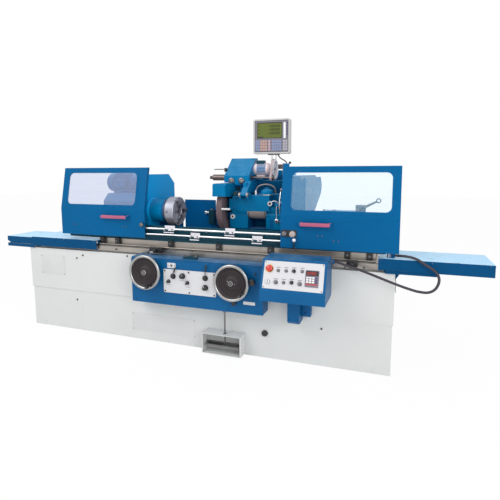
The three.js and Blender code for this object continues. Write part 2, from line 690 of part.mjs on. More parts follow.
// Pedal box, open at the front
function pedalBoxBody() {
  const p = pedalBox;
  const s = p.sheet;
  const y0 = back(-p.depth);
  const y1 = back(-seat) + bed.inset;
  const hole = bar("z", pedalRod.radius + running, p.top - s - overrun, p.top + overrun, pedalRod.sides,
    pedalRod.x, back(-pedalRod.fromFront));
  const pinBore = bar("x", pedal.pin + running, p.left + s - pedal.pinIn - running, p.right - s + pedal.pinIn + running,
    pedal.sides, pedalPivotY, pedalPivotZ);
  return cut(
    block(p.left, p.right, y0, y1, p.bottom, p.top),
    block(p.left + s, p.right - s, y0 - overrun, y1 - s, p.bottom + s, p.top - s),
    hole, pinBore,
  );
}

// Foot plate that tips down about a pin at its back
function footPedal() {
  const p = pedalBox;
  const x0 = p.left + p.sheet + pedal.side;
  const x1 = p.right - p.sheet - pedal.side;
  const front = back(-p.depth + pedal.front);
  const half = pedal.thickness / 2;
  const plate = block(x0, x1, front, pedalPivotY, pedalPivotZ - half, pedalPivotZ + half);
  const lip = block(x0, x1, front, front + pedal.thickness, pedalPivotZ - half, pedalPivotZ + pedal.thickness);
  const tube = bar("x", pedal.thickness, x0, x1, pedal.sides, pedalPivotY, pedalPivotZ);
  const pin = bar("x", pedal.pin, p.left + p.sheet - pedal.pinIn, p.right - p.sheet + pedal.pinIn, pedal.sides,
    pedalPivotY, pedalPivotZ);
  return join(plate, lip, tube, pin);
}

// Rod that ties the pedal to the valve in the apron
function pedalRodBody() {
  const r = pedalRod;
  const y = back(-r.fromFront);
  const bottom = pedalPivotZ + pedal.thickness / 2 + r.lift;
  const rod = bar("z", r.radius, bottom, apron.bottom + r.rise, r.sides, r.x, y);
  const collarTop = apron.bottom - r.collarDrop;
  return join(rod, bar("z", r.collar, collarTop - r.collarHeight, collarTop, r.sides, r.x, y));
}

// Coolant gutter along the front of the upper table, with the brackets of its two rails
function frontGutter() {
  const g = gutter;
  const s = g.sheet;
  const y0 = back(g.front);
  const y1 = back(upperTable.front - seat);
  const wall = block(g.left, g.right, y1 - s, y1, deck - upperTable.thickness + upperTable.lipHeight + s, gutterTop);
  const floor = block(g.left, g.right, y0, y1, gutterBottom, gutterBottom + s);
  const lip = block(g.left, g.right, y0, y0 + s, gutterBottom, gutterBottom + g.lip);
  const y = back(rail.fromFront);
  const reach = railPost.reach;
  const bracket = (x, z) => block(x - railPost.width / 2, x + railPost.width / 2, y - reach, y1 - railPost.edge, z - reach, z);
  const ends = [rail.left + railPost.endInset, rail.right - railPost.endInset];
  const brackets = [];
  for (const x of [...railPost.upperPlaces, ...ends]) brackets.push(bracket(x, railZ.upper));
  for (const x of [...railPost.lowerPlaces, ...ends]) brackets.push(bracket(x, railZ.lower));
  const rails = [railZ.upper, railZ.lower].map((z) => bar("x", rail.radius, rail.left, rail.right, rail.sides, y, z));
  return join(wall, floor, lip, ...brackets, ...rails);
}

// Outline of a door sheet in (y, z): straight below the bend, leaning back above it
function doorOutline(bottom, top, grow) {
  const y = back(door.front);
  const lean = Math.tan(rad(door.leanDegrees));
  const topY = y + (top - door.bend) * lean;
  const t = door.sheet + grow;
  return [[y, bottom], [y + t, bottom], [y + t, door.bend], [topY + t, top], [topY, top], [y, door.bend]];
}

const doorBottom = (d) => gutterTop - d.drop;
const doorY = (z) => back(door.front) + Math.max(0, z - door.bend) * Math.tan(rad(door.leanDegrees));

// Sliding door: folded sheet with a window cut-out, a stiffening rim and hooks on the rails
function doorBody(d) {
  const sheet = prism("x", doorOutline(doorBottom(d), door.top, 0), d.left, d.right);
  const rim = prism("x", doorOutline(doorBottom(d), door.top, door.rimWidth - door.sheet), d.left, d.right);
  const inner = prism("x", doorOutline(doorBottom(d) + door.bottomRim, door.top - door.sheet, door.rimWidth + overrun),
    d.left + door.sheet, d.right - door.sheet);
  const low = block(d.left - overrun, d.right + overrun, back(door.front - overrun), back(gutter.back),
    doorBottom(d) - overrun, gutterTop + door.bottomRim);
  const hollow = cut(rim, inner, low);
  const body = join(cut(sheet, windowHole(d)), cut(hollow, windowHole(d)));
  const lift = prism("x", doorOutline(door.bend - door.bottomRim, door.top + stile.rise, 0), d.left, d.left + stile.width);
  const hooks = [d.left + door.hookInset, d.right - door.hookInset].map((x) => doorHook(x));
  const grips = [d.gripLeft, d.gripRight - handle.post].map((x) =>
    block(x, x + handle.post, back(door.front) - handle.stand, back(door.front) + door.sheet / 2,
      handle.z - handle.height / 2, handle.z + handle.height / 2));
  const pull = block(d.gripLeft, d.gripRight, back(door.front) - handle.stand - handle.thickness,
    back(door.front) - handle.stand + running, handle.z - handle.height / 2, handle.z + handle.height / 2);
  return d === rightDoor ? join(body, lift, ...hooks, ...grips, pull) : join(body, ...hooks, ...grips, pull);
}

// Hook that carries a door on the upper rail
function doorHook(x) {
  const y0 = back(door.front) + door.sheet / 2;
  const y = back(rail.fromFront);
  const half = door.hookWidth / 2;
  const z0 = railZ.upper + rail.radius + door.hookGap;
  return block(x - half, x + half, y0, y + rail.radius, z0, z0 + door.hookThickness);
}

// Cut-out of a door's window, through the leaning sheet
function windowHole(d) {
  const z0 = door.bend + windowPane.bottomGap;
  const z1 = door.top - windowPane.topGap;
  const y0 = doorY(z0) - overrun;
  const y1 = doorY(z1) + door.rimWidth + overrun;
  return block(d.windowLeft, d.windowRight, y0, y1, z0, z1);
}

// Window pane seated in its door's cut-out
function windowBody(d) {
  const z0 = door.bend + windowPane.bottomGap + seat;
  const z1 = door.top - windowPane.topGap - seat;
  const t = windowPane.thickness;
  const points = [[doorY(z0), z0], [doorY(z0) + t, z0], [doorY(z1) + t, z1], [doorY(z1), z1]];
  return prism("x", points, d.windowLeft + seat, d.windowRight - seat);
}

// Workhead casting with its spindle bore
function workheadBody() {
  const w = workhead;
  const z0 = deck + seat;
  const y0 = back(w.front);
  const y1 = back(w.back);
  const points = [
    [y0, z0], [back(table.depth), z0], [y1, z0 + w.plinth], [y1, w.top - w.shoulder], [y1 - w.shoulder, w.top],
    [y0 + w.shoulder, w.top], [y0, w.top - w.shoulder],
  ];
  const y = back(axisLine.fromFront);
  const noseEnd = chuck.rear - w.noseGap;
  const nose = bar("x", w.nose, w.right - w.plinth, noseEnd, chuck.sides, y, axisLine.z);
  const bore = bar("x", chuck.spindle + running, chuck.spindleEnd - running, noseEnd + overrun, chuck.sides,
    y, axisLine.z);
  return cut(join(prism("x", points, w.left, w.right), nose), bore);
}

// Drive motor on top of the workhead
function workMotorBody() {
  const m = workMotor;
  const z = workhead.top + seat + m.foot + m.radius;
  const y = back(m.fromFront);
  const profile = [
    [m.left, 0], [m.left, m.radius - m.cap], [m.left + m.cap, m.radius], [m.right - m.cap, m.radius],
    [m.right, m.radius - m.cap], [m.right, 0],
  ];
  const foot = block(m.left + m.footInset, m.right - m.footInset, y - m.footWidth / 2, y + m.footWidth / 2,
    workhead.top + seat, z - m.radius / 2);
  return join(turned("x", profile, m.sides, y, z), foot);
}

// Sheet panel that closes the workhead's right end
function endPanelBody() {
  const p = endPanel;
  const x0 = workhead.right + seat;
  const points = [
    [back(p.front), p.bottom], [back(p.rear), p.bottom], [back(p.rear), p.chamferTop],
    [back(p.topRear), p.top], [back(p.front), p.top],
  ];
  const hole = bar("x", workhead.nose + running, x0 - overrun, x0 + p.sheet + overrun, chuck.sides, back(axisLine.fromFront), axisLine.z);
  return cut(prism("x", points, x0, x0 + p.sheet), hole);
}

// Radial slot or jaw outline at one of the chuck's places
function atJawPlace(piece, index) {
  const degrees = chuck.jawStart + (index * 360) / chuck.jawCount;
  return turn(piece, new THREE.Vector3(1, 0, 0), degrees, [0, back(axisLine.fromFront), axisLine.z]);
}

// Chuck with its spindle, through bore and jaw slots
function chuckBody() {
  const c = chuck;
  const y = back(axisLine.fromFront);
  const profile = [
    [c.spindleEnd, c.bore], [c.spindleEnd, c.spindle], [c.rear, c.spindle], [c.rear, c.backPlate],
    [c.rear + c.backLength, c.backPlate], [c.rear + c.backLength, c.radius], [c.face - c.chamfer, c.radius],
    [c.face, c.radius - c.chamfer], [c.face, c.bore], [c.spindleEnd, c.bore],
  ];
  const body = turned("x", profile, c.sides, y, axisLine.z);
  const slots = [];
  for (let i = 0; i < c.jawCount; i++) {
    const half = jaw.width / 2 + running;
    const slot = block(c.face - jaw.slotDepth, c.face + overrun, y - half, y + half, axisLine.z, axisLine.z + c.radius + overrun);
    slots.push(atJawPlace(slot, i));
  }
  return cut(body, ...slots);
}

// Stepped jaw, sliding in its slot
function chuckJaw(index) {
  const c = chuck;
  const y = back(axisLine.fromFront);
  const half = jaw.width / 2;
  const x0 = c.face - jaw.slotDepth + running;
  const points = [
    [x0, axisLine.z + jaw.inner], [x0, axisLine.z + jaw.outer], [c.face + jaw.proud - jaw.step, axisLine.z + jaw.outer],
    [c.face + jaw.proud - jaw.step, axisLine.z + jaw.stepRadius], [c.face + jaw.proud, axisLine.z + jaw.stepRadius],
    [c.face + jaw.proud, axisLine.z + jaw.inner],
  ];
  return atJawPlace(prism("y", points.reverse(), y - half, y + half), index);
}

// Tailstock casting, bored for its quill and lever shaft
function tailstockBody() {
  const t = tailstock;
  const z0 = deck + seat;
  const points = [
    [back(t.front), z0], [back(table.depth), z0], [back(t.back), z0 + t.foot],
    [back(t.bodyBack), z0 + t.waist], [back(t.bodyBack), t.top - t.round], [back(t.bodyBack - t.round), t.top],
    [back(t.bodyFront + t.round), t.top], [back(t.bodyFront), t.top - t.round],
    [back(t.bodyFront), z0 + t.waist], [back(t.front), z0 + t.foot],
  ];
  const body = prism("x", points, t.left, t.right);
  const bore = bar("x", t.bore + running, t.left - overrun, t.right + overrun, quill.sides, back(axisLine.fromFront), axisLine.z);
  return join(cut(body, bore), leverLug());
}

// Quill with its dead centre
function quillBody() {
  const q = quill;
  const r = tailstock.bore;
  const profile = [
    [q.tip, 0], [q.tip + q.coneMid, q.neck], [q.tip + q.coneLength, q.neck + running],
    [q.tip + q.coneLength, q.nose], [q.tip + q.coneLength + q.taper, r], [q.rear, r], [q.rear, 0],
  ];
  return turned("x", profile, q.sides, back(axisLine.fromFront), axisLine.z);
}

// Lever that draws the quill back, pinned to a lug on the tailstock's right end
function tailLeverBody() {
  const l = tailLever;
  const y = back(axisLine.fromFront);
  const y1 = y - l.lugWidth / 2 - running;
  const y0 = y1 - l.hubLength;
  const { x, z } = leverPivot;
  const hub = bar("y", l.hub, y0, y1, quill.sides, x, z);
  const pin = bar("y", l.pin, y0 + overrun, y + l.lugWidth / 2, quill.sides, x, z);
  const mid = (y0 + y1) / 2;
  const rod = block(x, x + l.armLength, mid - l.armThickness / 2, mid + l.armThickness / 2, z - l.armWidth / 2, z + l.armWidth / 2);
  const ring = bar("y", l.ring, y0, y1, quill.sides, x + l.armLength, z);
  const hole = bar("y", l.ringBore, y0 - overrun, y1 + overrun, quill.sides, x + l.armLength, z);
  return join(hub, pin, turn(cut(join(rod, ring), hole), new THREE.Vector3(0, -1, 0), l.slope, [x, mid, z]));
}

// Lug on the tailstock's right end, bored for the lever's pin
function leverLug() {
  const l = tailLever;
  const y = back(axisLine.fromFront);
  const { x, z } = leverPivot;
  const lug = block(tailstock.right - overrun, tailstock.right + l.lugReach, y - l.lugWidth / 2,
    y + l.lugWidth / 2, z - l.lugDown, z + l.lugUp);
  return cut(lug, bar("y", l.pin + running, y - l.lugWidth, y + l.lugWidth, quill.sides, x, z));
}

// Wheelhead saddle that runs on the rear bed's ways
function saddleBody() {
  const s = saddle;
  const z0 = bed.height + running;
  const top = head.bottom;
  const body = block(s.left, s.right, back(s.front), saddleBack, z0, top);
  const grooves = [-1, 1].map((side) => {
    const x = rearWays.middle + (side * rearWays.gap) / 2;
    const half = rearWays.width / 2 + running;
    return block(x - half, x + half, back(s.front - overrun), saddleBack + overrun, z0 - overrun, bed.height + rearWays.height + running);
  });
  const pinHole = bar("z", headPivot.radius + running, top - headPivot.height - running, top + overrun,
    headPivot.sides, headPivot.x, back(headPivot.fromFront));
  return cut(body, ...grooves, pinHole);
}

// Wheelhead casting with its two bearing blocks and the sleeve between them
function headBody() {
  const h = head;
  const b = bearing;
  const y = back(wheelAxis.fromFront);
  const main = block(h.left, h.right, back(h.front + bearing.chamfer), back(h.back), headBottom, h.top);
  const plate = block(h.plateLeft, h.plateRight, back(h.nose), back(h.front + bearing.chamfer * 2), h.plateBottom, h.top);
  const low = block(b.leftStart, b.rightEnd, back(h.front - b.chamfer), back(h.front + b.chamfer * 2),
    headBottom, b.bottom + overrun);
  const lap = block(b.leftStart, h.plateLeft + overrun, back(h.nose), back(h.front + b.chamfer * 2),
    h.plateBottom, wheelGuard.frontBottom - wheelGuard.step - wheelGuard.sheet);
  const housing = (x0, x1) => prism("x", [
    [back(b.front), b.bottom], [back(h.front + b.chamfer * 2), b.bottom], [back(h.front + b.chamfer * 2), b.top + b.chamfer],
    [back(b.front) + b.chamfer, b.top], [back(b.front), b.top - b.chamfer],
  ], x0, x1);
  const sleeve = turned("x", [
    [h.left, 0], [h.left, spindleSleeve.radius],
    [b.rightStart - spindleSleeve.taper, spindleSleeve.radius], [b.rightStart, spindleSleeve.radius - spindleSleeve.taper],
    [b.rightEnd - spindleSleeve.taper, spindleSleeve.radius - spindleSleeve.taper], [b.rightEnd - spindleSleeve.taper, 0],
  ], spindleSleeve.sides, y, wheelAxis.z);
  const bore = bar("x", spindleSleeve.bore, b.leftStart - overrun, h.right + overrun, spindle.sides, y, wheelAxis.z);
  const pin = bar("z", headPivot.radius, h.bottom - headPivot.height + running, headBottom + overrun, headPivot.sides,
    headPivot.x, back(headPivot.fromFront));
  const casting = join(main, plate, lap, low, housing(b.leftStart, b.leftEnd), housing(b.rightStart, b.rightEnd), sleeve, pin, hingeEars(),
    coolantPipeBody(), nozzleBody());
  return cut(casting, bore, hingePinHole(), headRecess());
}

// Deep recess under the sleeve, between the two bearing blocks
function headRecess() {
  const y = back(head.front - overrun - bearing.chamfer);
  const top = wheelAxis.z - spindleSleeve.radius - seat;
  return block(bearing.leftEnd + seat, bearing.rightStart - seat, y, y + head.recess, bearing.bottom, top);
}

// Two ears on the casting's front plate that carry the attachment's hinge
function hingeEars() {
  const y = back(hinge.fromFront);
  const ears = [hinge.x - hinge.length / 2, hinge.x + hinge.length / 2 - hinge.ear].map((x) =>
    join(
      block(x, x + hinge.ear, y, back(head.nose + overrun), hinge.z - hinge.earDrop, hinge.z + hinge.radius),
      bar("x", hinge.radius, x, x + hinge.ear, hinge.sides, y, hinge.z),
    ));
  return join(ears[0], ears[1]);
}

const hingePinHole = () =>
  bar("x", hinge.pin + running, hinge.x - hinge.length, hinge.x + hinge.length, hinge.sides, back(hinge.fromFront), hinge.z);

// Grinding spindle with its hub, flanges and pulley
function spindleBody() {
  const s = spindle;
  const w0 = wheel.left - seat;
  const w1 = wheel.left + wheel.width + seat;
  const r = wheel.bore - running;
  const profile = [
    [s.nose, 0], [s.nose, s.nut], [w0 - s.flangeWidth, s.nut], [w0 - s.flangeWidth, r],
    [w1, r], [w1, s.flange], [w1 + s.flangeWidth, s.flange], [w1 + s.flangeWidth, s.radius + s.flangeWidth],
    [s.collarEnd, s.radius], [s.right - s.pulleyWidth, s.radius],
    [s.right - s.pulleyWidth, s.pulley], [s.right, s.pulley], [s.right, 0],
  ];
  return turned("x", profile, s.sides, back(wheelAxis.fromFront), wheelAxis.z);
}

// Abrasive wheel, clamped against the spindle's flange
function wheelBody() {
  const w = wheel;
  const x1 = w.left + w.width;
  const profile = [[w.left, w.bore], [w.left, w.radius], [x1, w.radius], [x1, w.bore], [w.left, w.bore]];
  return turned("x", profile, w.sides, back(wheelAxis.fromFront), wheelAxis.z);
}

// Hood over the wheel's top and back
function wheelGuardBody() {
  const g = wheelGuard;
  const s = g.sheet;
  const stepBottom = g.frontBottom - g.step;
  const outer = [
    [back(g.front), g.frontBottom], [back(g.innerFront), stepBottom], [back(g.innerFront), g.bottom],
    [back(g.back), g.bottom], [back(g.back), g.top], [back(g.frontTop), g.top],
  ];
  const inner = [
    [back(g.front) + s, g.frontBottom - overrun], [back(g.innerFront - overrun), stepBottom - overrun],
    [back(g.innerFront - overrun), g.bottom - overrun], [back(g.back) - s, g.bottom - overrun],
    [back(g.back) - s, g.top - s], [back(g.frontTop) + s, g.top - s],
  ];
  return cut(prism("x", outer, g.left, hoodRight), prism("x", inner, g.left + s, hoodRight - s));
}

// Coolant nozzle: a pipe forward from the casting's plate and a bar across the front of the wheel
function nozzleBody() {
  const n = nozzle;
  const y = back(n.fromFront);
  const pipe = bar("y", n.pipe, y, back(head.nose + overrun), n.sides, n.barRight - n.pipe, n.z);
  return join(pipe, bar("x", n.barRadius, n.barLeft, n.barRight, n.sides, y, n.z));
}

// Wheel motor on top of the wheelhead, with its shaft
function wheelMotorBody() {
  const m = wheelMotor;
  const z = motorZ;
  const y = back(m.fromFront);
  const profile = [
    [m.left, 0], [m.left, m.radius - m.foot], [m.left + m.foot, m.radius], [m.right - m.foot, m.radius],
    [m.right, m.radius - m.foot], [m.right, 0],
  ];
  const foot = block(m.left + m.footInset, m.right - m.footInset, y - m.footWidth / 2, y + m.footWidth / 2, head.top + seat, z - m.radius / 2);
  return join(turned("x", profile, m.sides, y, z), foot);
}

// Pulley on the motor's shaft, in line with the spindle's pulley
function motorPulleyBody() {
  const p = motorPulley;
  const profile = [
    [wheelMotor.right + running, 0], [wheelMotor.right + running, wheelMotor.shaft], [p.right - p.width, wheelMotor.shaft],
    [p.right - p.width, p.radius], [p.right, p.radius], [p.right, 0],
  ];
  return turned("x", profile, p.sides, back(wheelMotor.fromFront), motorZ);
}

// Flat belt round two pulleys, given as (y, z, radius) circles
function beltAround(a, b, x0, x1, gap, thickness, sides) {
  const outline = (grow) => {
    const span = Math.hypot(b.y - a.y, b.z - a.z);
    const heading = Math.atan2(b.z - a.z, b.y - a.y);
    const spread = Math.acos((a.r - b.r) / span);
    const points = [];
    const arc = (c, from, to) => {
      for (let i = 0; i <= sides; i++) {
        const angle = from + ((to - from) * i) / sides;
        points.push([c.y + (c.r + grow) * Math.cos(angle), c.z + (c.r + grow) * Math.sin(angle)]);
      }
    };
    arc(a, heading + spread, heading + 2 * Math.PI - spread);
    arc(b, heading - spread, heading + spread);
    return points;
  };
  return cut(prism("x", outline(gap + thickness), x0, x1), prism("x", outline(gap), x0 - overrun, x1 + overrun));
}

// Drive belt from the motor's pulley to the spindle's pulley
function wheelBelt() {
  const a = { y: back(wheelMotor.fromFront), z: motorZ, r: motorPulley.radius };
  const b = { y: back(wheelAxis.fromFront), z: wheelAxis.z, r: spindle.pulley };
  return beltAround(a, b, motorPulley.right - motorPulley.width + belt.inset, motorPulley.right - belt.inset,
    belt.gap, belt.thickness, belt.sides);
}

// Belt guard: a hood with a notched top, open on its left side against the casting
function beltGuardBody() {
  const g = beltGuard;
  const open = head.right + seat;
  const front = (i) => [
    [open - (i ? overrun : 0), g.bottom + i], [g.right - i, g.bottom + i], [g.right - i, g.rightTop - i],
    [g.notch + g.notchHalf, g.rightTop - i], [g.notch, g.notchFloor - i],
    [g.notch - g.notchHalf, g.leftTop - i], [open - (i ? overrun : 0), g.leftTop - i],
  ];
  const end = (i) => [
    [back(g.front) + i, g.bottom + i], [back(g.slantEnd), g.bottom + i],
    [back(g.slantBack) - i, g.slantTop + i / 2], [back(g.back) - i, g.shoulder],
    [back(g.topBack) - i / 2, g.leftTop - i], [back(g.front) + i, g.leftTop - i],
  ];
  const shell = (i) => prism("y", front(i), back(g.front) - overrun, back(g.back) + overrun)
    .intersect(prism("x", end(i), open - overrun, g.right + overrun));
  return cut(shell(0), shell(g.sheet));
}

// Coolant riser on the right bearing block
function coolantPipeBody() {
  const p = coolantPipe;
  const riser = bar("z", p.radius, bearing.top + seat, p.top, p.sides, p.x, back(bearing.front + p.riserIn));
  const elbow = bar("y", p.radius, back(bearing.front) + p.radius, back(head.front + bearing.chamfer) - seat, p.sides,
    p.x, p.top - p.elbowDrop);
  const dome = new THREE.SphereGeometry(p.dome, p.sides, p.sides / 2);
  dome.translate(p.x, back(bearing.front + p.domeIn), p.top);
  return join(riser, elbow, solid(dome));
}

// Internal grinding attachment, hinged on the wheelhead's front
function attachmentBody() {
  const a = attachment;
  const y = back(hinge.fromFront);
  const points = [
    [back(a.noseFront), a.noseBottom], [back(a.noseFront), a.noseTop], [back(a.topFront), a.top], [back(a.back), a.top],
    [back(a.back), a.low + a.backRise], [back(a.noseFront + a.floorIn), a.low],
  ];
  const body = prism("x", points.reverse(), a.left, a.right);
  const knuckleHalf = hinge.length / 2 - hinge.ear - running;
  const lug = prism("x", [
    [y, hinge.z - hinge.radius], [back(a.noseFront + a.web), a.noseBottom - a.lugHalf],
    [back(a.noseFront + a.web), a.noseBottom + a.lugHalf], [back(a.noseFront), a.noseBottom + a.lugHalf],
    [y, hinge.z + hinge.radius],
  ], hinge.x - knuckleHalf, hinge.x + knuckleHalf);
  const knuckle = bar("x", hinge.radius, hinge.x - knuckleHalf, hinge.x + knuckleHalf, hinge.sides, y, hinge.z);
  const pin = bar("x", hinge.pin, hinge.x - hinge.length / 2, hinge.x + hinge.length / 2, hinge.sides, y, hinge.z);
  const bore = bar("x", a.bore, a.left - overrun, a.right + overrun, attachmentSpindle.sides, back(attachmentSpindle.fromFront), attachmentSpindle.z);
  const overHood = block(a.left - overrun, hoodRight + overrun, back(0), back(a.back + overrun), a.low - overrun, wheelGuard.top + overrun);
  return cut(join(cut(body, overHood), lug, knuckle, pin, attachmentMotorBody()), bore);
}

// High-speed spindle of the attachment, with its quill and small wheel
function attachmentSpindleBody() {
  const s = attachmentSpindle;
  const profile = [
    [s.quillLeft, 0], [s.quillLeft, s.tip], [s.quillLeft + s.tipLength, s.tip], [s.quillLeft + s.tipLength, s.quill],
    [s.left, s.quill], [s.left, s.radius], [attachment.right + overrun, s.radius], [attachment.right + overrun, s.quill],
    [s.right - s.pulleyWidth, s.quill], [s.right - s.pulleyWidth, s.pulley], [s.right, s.pulley], [s.right, 0],
  ];
  return turned("x", profile, s.sides, back(s.fromFront), s.z);
}

// Motor of the attachment, flanged to its right side
function attachmentMotorBody() {
  const m = attachmentMotor;
  const y = back(m.fromFront);
  const flange = attachment.right - seat;
  const profile = [
    [flange, 0], [flange, m.radius - m.foot], [m.left, m.radius], [m.right - m.foot, m.radius], [m.right, m.radius - m.foot], [m.right, 0],
  ];
  return turned("x", profile, m.sides, y, m.z);
}

// Large pulley of the attachment's motor
function attachmentPulleyBody() {
  const p = attachmentPulley;
  const m = attachmentMotor;
  const x0 = m.right + running;
  const x1 = p.left + p.width;
  const profile = [
    [x0, 0], [x0, m.shaft], [p.left - p.cone, p.hub], [p.left, p.radius], [x1, p.radius],
    [x1, p.bore], [x1 - p.web, p.hub], [x1 - p.web, 0],
  ];
  return turned("x", profile, p.sides, back(m.fromFront), m.z);
}

// Belt of the attachment
function attachmentBelt() {
  const a = { y: back(attachmentMotor.fromFront), z: attachmentMotor.z, r: attachmentPulley.radius };
  const b = { y: back(attachmentSpindle.fromFront), z: attachmentSpindle.z, r: attachmentSpindle.pulley };
  const x0 = attachmentPulley.left + belt.inset;
  return beltAround(a, b, x0, attachmentPulley.left + attachmentPulley.width - belt.inset, belt.gap, smallBelt.thickness, belt.sides);
}

// Post and arm that carry the read-out
function consoleArm() {
  const y = back(post.fromFront);
  const column = bar("z", post.radius, head.top + seat, post.top, post.sides, post.x, y);
  const collar = bar("z", post.collar, head.top + seat, head.top + seat + post.collarHeight, post.sides, post.x, y);
  const reach = block(arm.left, post.x, y - arm.width / 2, y + arm.width / 2, post.top - arm.height, post.top);
  const front = back((readout.front + readout.back) / 2);
  const knee = block(arm.left, arm.left + arm.kneeWidth, front - arm.riser, y, post.top - arm.height, post.top);
  const rise = bar("z", arm.riser, post.top - arm.height / 2, readout.bottom - running, post.sides, arm.left + arm.riser, front);
  return join(column, collar, reach, knee, rise);
}

// Read-out console, swivelling on the arm's riser
function consoleBody() {
  const c = readout;
  const r = c.corner;
  const points = [
    [c.left + r, c.bottom], [c.right - r, c.bottom], [c.right, c.bottom + r], [c.right, c.top - r],
    [c.right - r, c.top], [c.left + r, c.top], [c.left, c.top - r], [c.left, c.bottom + r],
  ];
  return prism("y", points, back(c.front), back(c.back));
}

// Fixed splash panel on its leg
function splashBody() {
  const s = splash;
  const y = back(s.fromFront);
  const z0 = bed.height + seat;
  const panel = block(s.left, s.right, y, y + s.sheet, s.bottom, s.top);
  const legX = rearBed.left + s.legInset;
  const leg = block(legX, legX + s.legWidth, y, y + s.sheet, z0, s.bottom + overrun);
  const flange = block(legX, legX + s.legWidth, y, y + s.flange, z0, z0 + s.sheet);
  return join(panel, leg, flange);
}

// Bracket on top of the right guard, with the clip that holds the conduit's end
function conduitBracketBody() {
  const b = conduitBracket;
  const x0 = table.right + b.fromLeft;
  const z0 = tableGuard.top - seat;
  const y0 = back(b.fromFront);
  const foot = block(x0, x0 + b.width, y0, y0 + b.width, z0, z0 + b.thickness);
  const plate = block(x0, x0 + b.width, y0, y0 + b.thickness, z0, z0 + b.height);
  const clip = block(x0 + b.width - b.clip, x0 + b.width + b.clip, y0 - b.clipReach, y0 + b.thickness, z0 + b.thickness,
    z0 + b.thickness + b.clipHeight);
  return join(foot, plate, clip);
}

// Free cord from the control box's side to the bracket
function conduitBody() {
  const curve = new THREE.CatmullRomCurve3(conduitRoute.map((p) => new THREE.Vector3(...p)));
  const ring = [];
  for (let i = 0; i < conduit.sides; i++) {
    const a = (i * 2 * Math.PI) / conduit.sides;
    ring.push(new THREE.Vector2(conduit.radius * Math.cos(a), conduit.radius * Math.sin(a)));
  }
  return solid(new THREE.ExtrudeGeometry(new THREE.Shape(ring), { extrudePath: curve, steps: conduit.steps }));
}

add("base_casting", "white", baseCasting());
add("apron_housing", "blue", apronBody());
add("knob_plate", "white", knobPlateBody());
add("table_handwheel", "rim", handwheelBody(tableWheel));
add("infeed_handwheel", "rim", handwheelBody(infeedWheel));
add("table_lever", "steel", plateLever(tableLever));
add("speed_lever", "steel", plateLever(speedLever));
add("dwell_knob", "black", plateKnobBody(dwellKnob));
add("flow_knob", "black", plateKnobBody(flowKnob));
add("reversing_lever", "teal", reverserBody());
add("control_box", "blue", controlBox());
add("control_column", "blue", boxArmBody());
add("emergency_stop", "red", pushButton(stopPlace, stopButton));
for (const place of selectorPlaces) add(place.name, "black", selectorBody(place));
for (const place of buttonPlaces) add(place.name, "dark", pushButton(place, panelButton));
add("pedal_box", "white", pedalBoxBody());
add("foot_pedal", "dark", footPedal());
add("pedal_rod", "steel", pedalRodBody());
add("bed_tray_left", "blue", bedTray(-1));
add("bed_tray_right", "blue", bedTray(1));
add("conduit", "conduit", conduitBody());
add("lower_table", "steel", lowerTable());
add("table_guard_left", "blue", tableGuardBody(-1));
add("table_guard_right", "blue", tableGuardBody(1));
add("trip_dog_left", "black", tripDogBody(tripDog.leftStart, tripDog.leftLength));
add("trip_dog_right", "black", tripDogBody(tripDog.rightStart, tripDog.rightLength));
add("upper_table", "steel", upperTableBody());
add("front_gutter", "teal", frontGutter());
add("left_door", "blue", doorBody(leftDoor));
add("right_door", "blue", doorBody(rightDoor));
add("left_window", "glass", windowBody(leftDoor));
add("right_window", "glass", windowBody(rightDoor));
add("headstock_body", "blue", workheadBody());
add("headstock_motor", "dark", workMotorBody());
add("headstock_panel", "blue", endPanelBody());
add("chuck_body", "steel", chuckBody());
for (let i = 0; i < chuck.jawCount; i++) add("chuck_jaw_" + (i + 1), "dark", chuckJaw(i));
add("tailstock_body", "blue", tailstockBody());
add("tailstock_quill", "steel", quillBody());
add("tailstock_lever", "steel", tailLeverBody());
add("splash_panel", "blue", splashBody());
add("wheelhead_saddle", "blue", saddleBody());
add("wheelhead_body", "blue", headBody());
add("wheel_guard", "teal", wheelGuardBody());
add("wheel_spindle", "steel", spindleBody());
add("grinding_wheel", "stone", wheelBody());
add("wheel_motor", "dark", wheelMotorBody());
add("motor_pulley", "dark", motorPulleyBody());
add("drive_belt", "black", wheelBelt());
add("belt_guard", "blue", beltGuardBody());
add("internal_bracket", "blue", attachmentBody());
add("internal_spindle", "steel", attachmentSpindleBody());
add("internal_pulley", "dark", attachmentPulleyBody());
add("internal_belt", "black", attachmentBelt());
add("console_arm", "steel", consoleArm());
add("readout_console", "cream", consoleBody());

export default group;
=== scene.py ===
"""Finishes and fine pieces of the cylindrical grinding machine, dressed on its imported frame.

Everything is in metres, in the frame's own axes: +X to the operator's right, +Y away from them, +Z up.
"""
import itertools
import math

import bmesh
import bpy
from bpy.props import FloatProperty, FloatVectorProperty, IntProperty, PointerProperty
from mathutils import Matrix, Vector


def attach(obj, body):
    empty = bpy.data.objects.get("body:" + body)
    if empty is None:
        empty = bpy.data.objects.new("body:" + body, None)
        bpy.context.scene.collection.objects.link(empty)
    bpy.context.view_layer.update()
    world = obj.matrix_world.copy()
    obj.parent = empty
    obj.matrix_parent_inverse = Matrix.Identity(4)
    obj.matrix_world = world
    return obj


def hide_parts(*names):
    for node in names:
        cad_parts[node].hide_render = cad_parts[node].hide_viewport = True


bl_info = {
    "name": "Cylindrical Grinding Machine",
    "version": (1, 0, 0),
    "blender": (4, 5, 0),
    "location": "3D View > Sidebar > Grinder",
    "description": "Builds the finishes and fine pieces of a cylindrical grinding machine",
    "category": "Object",
}

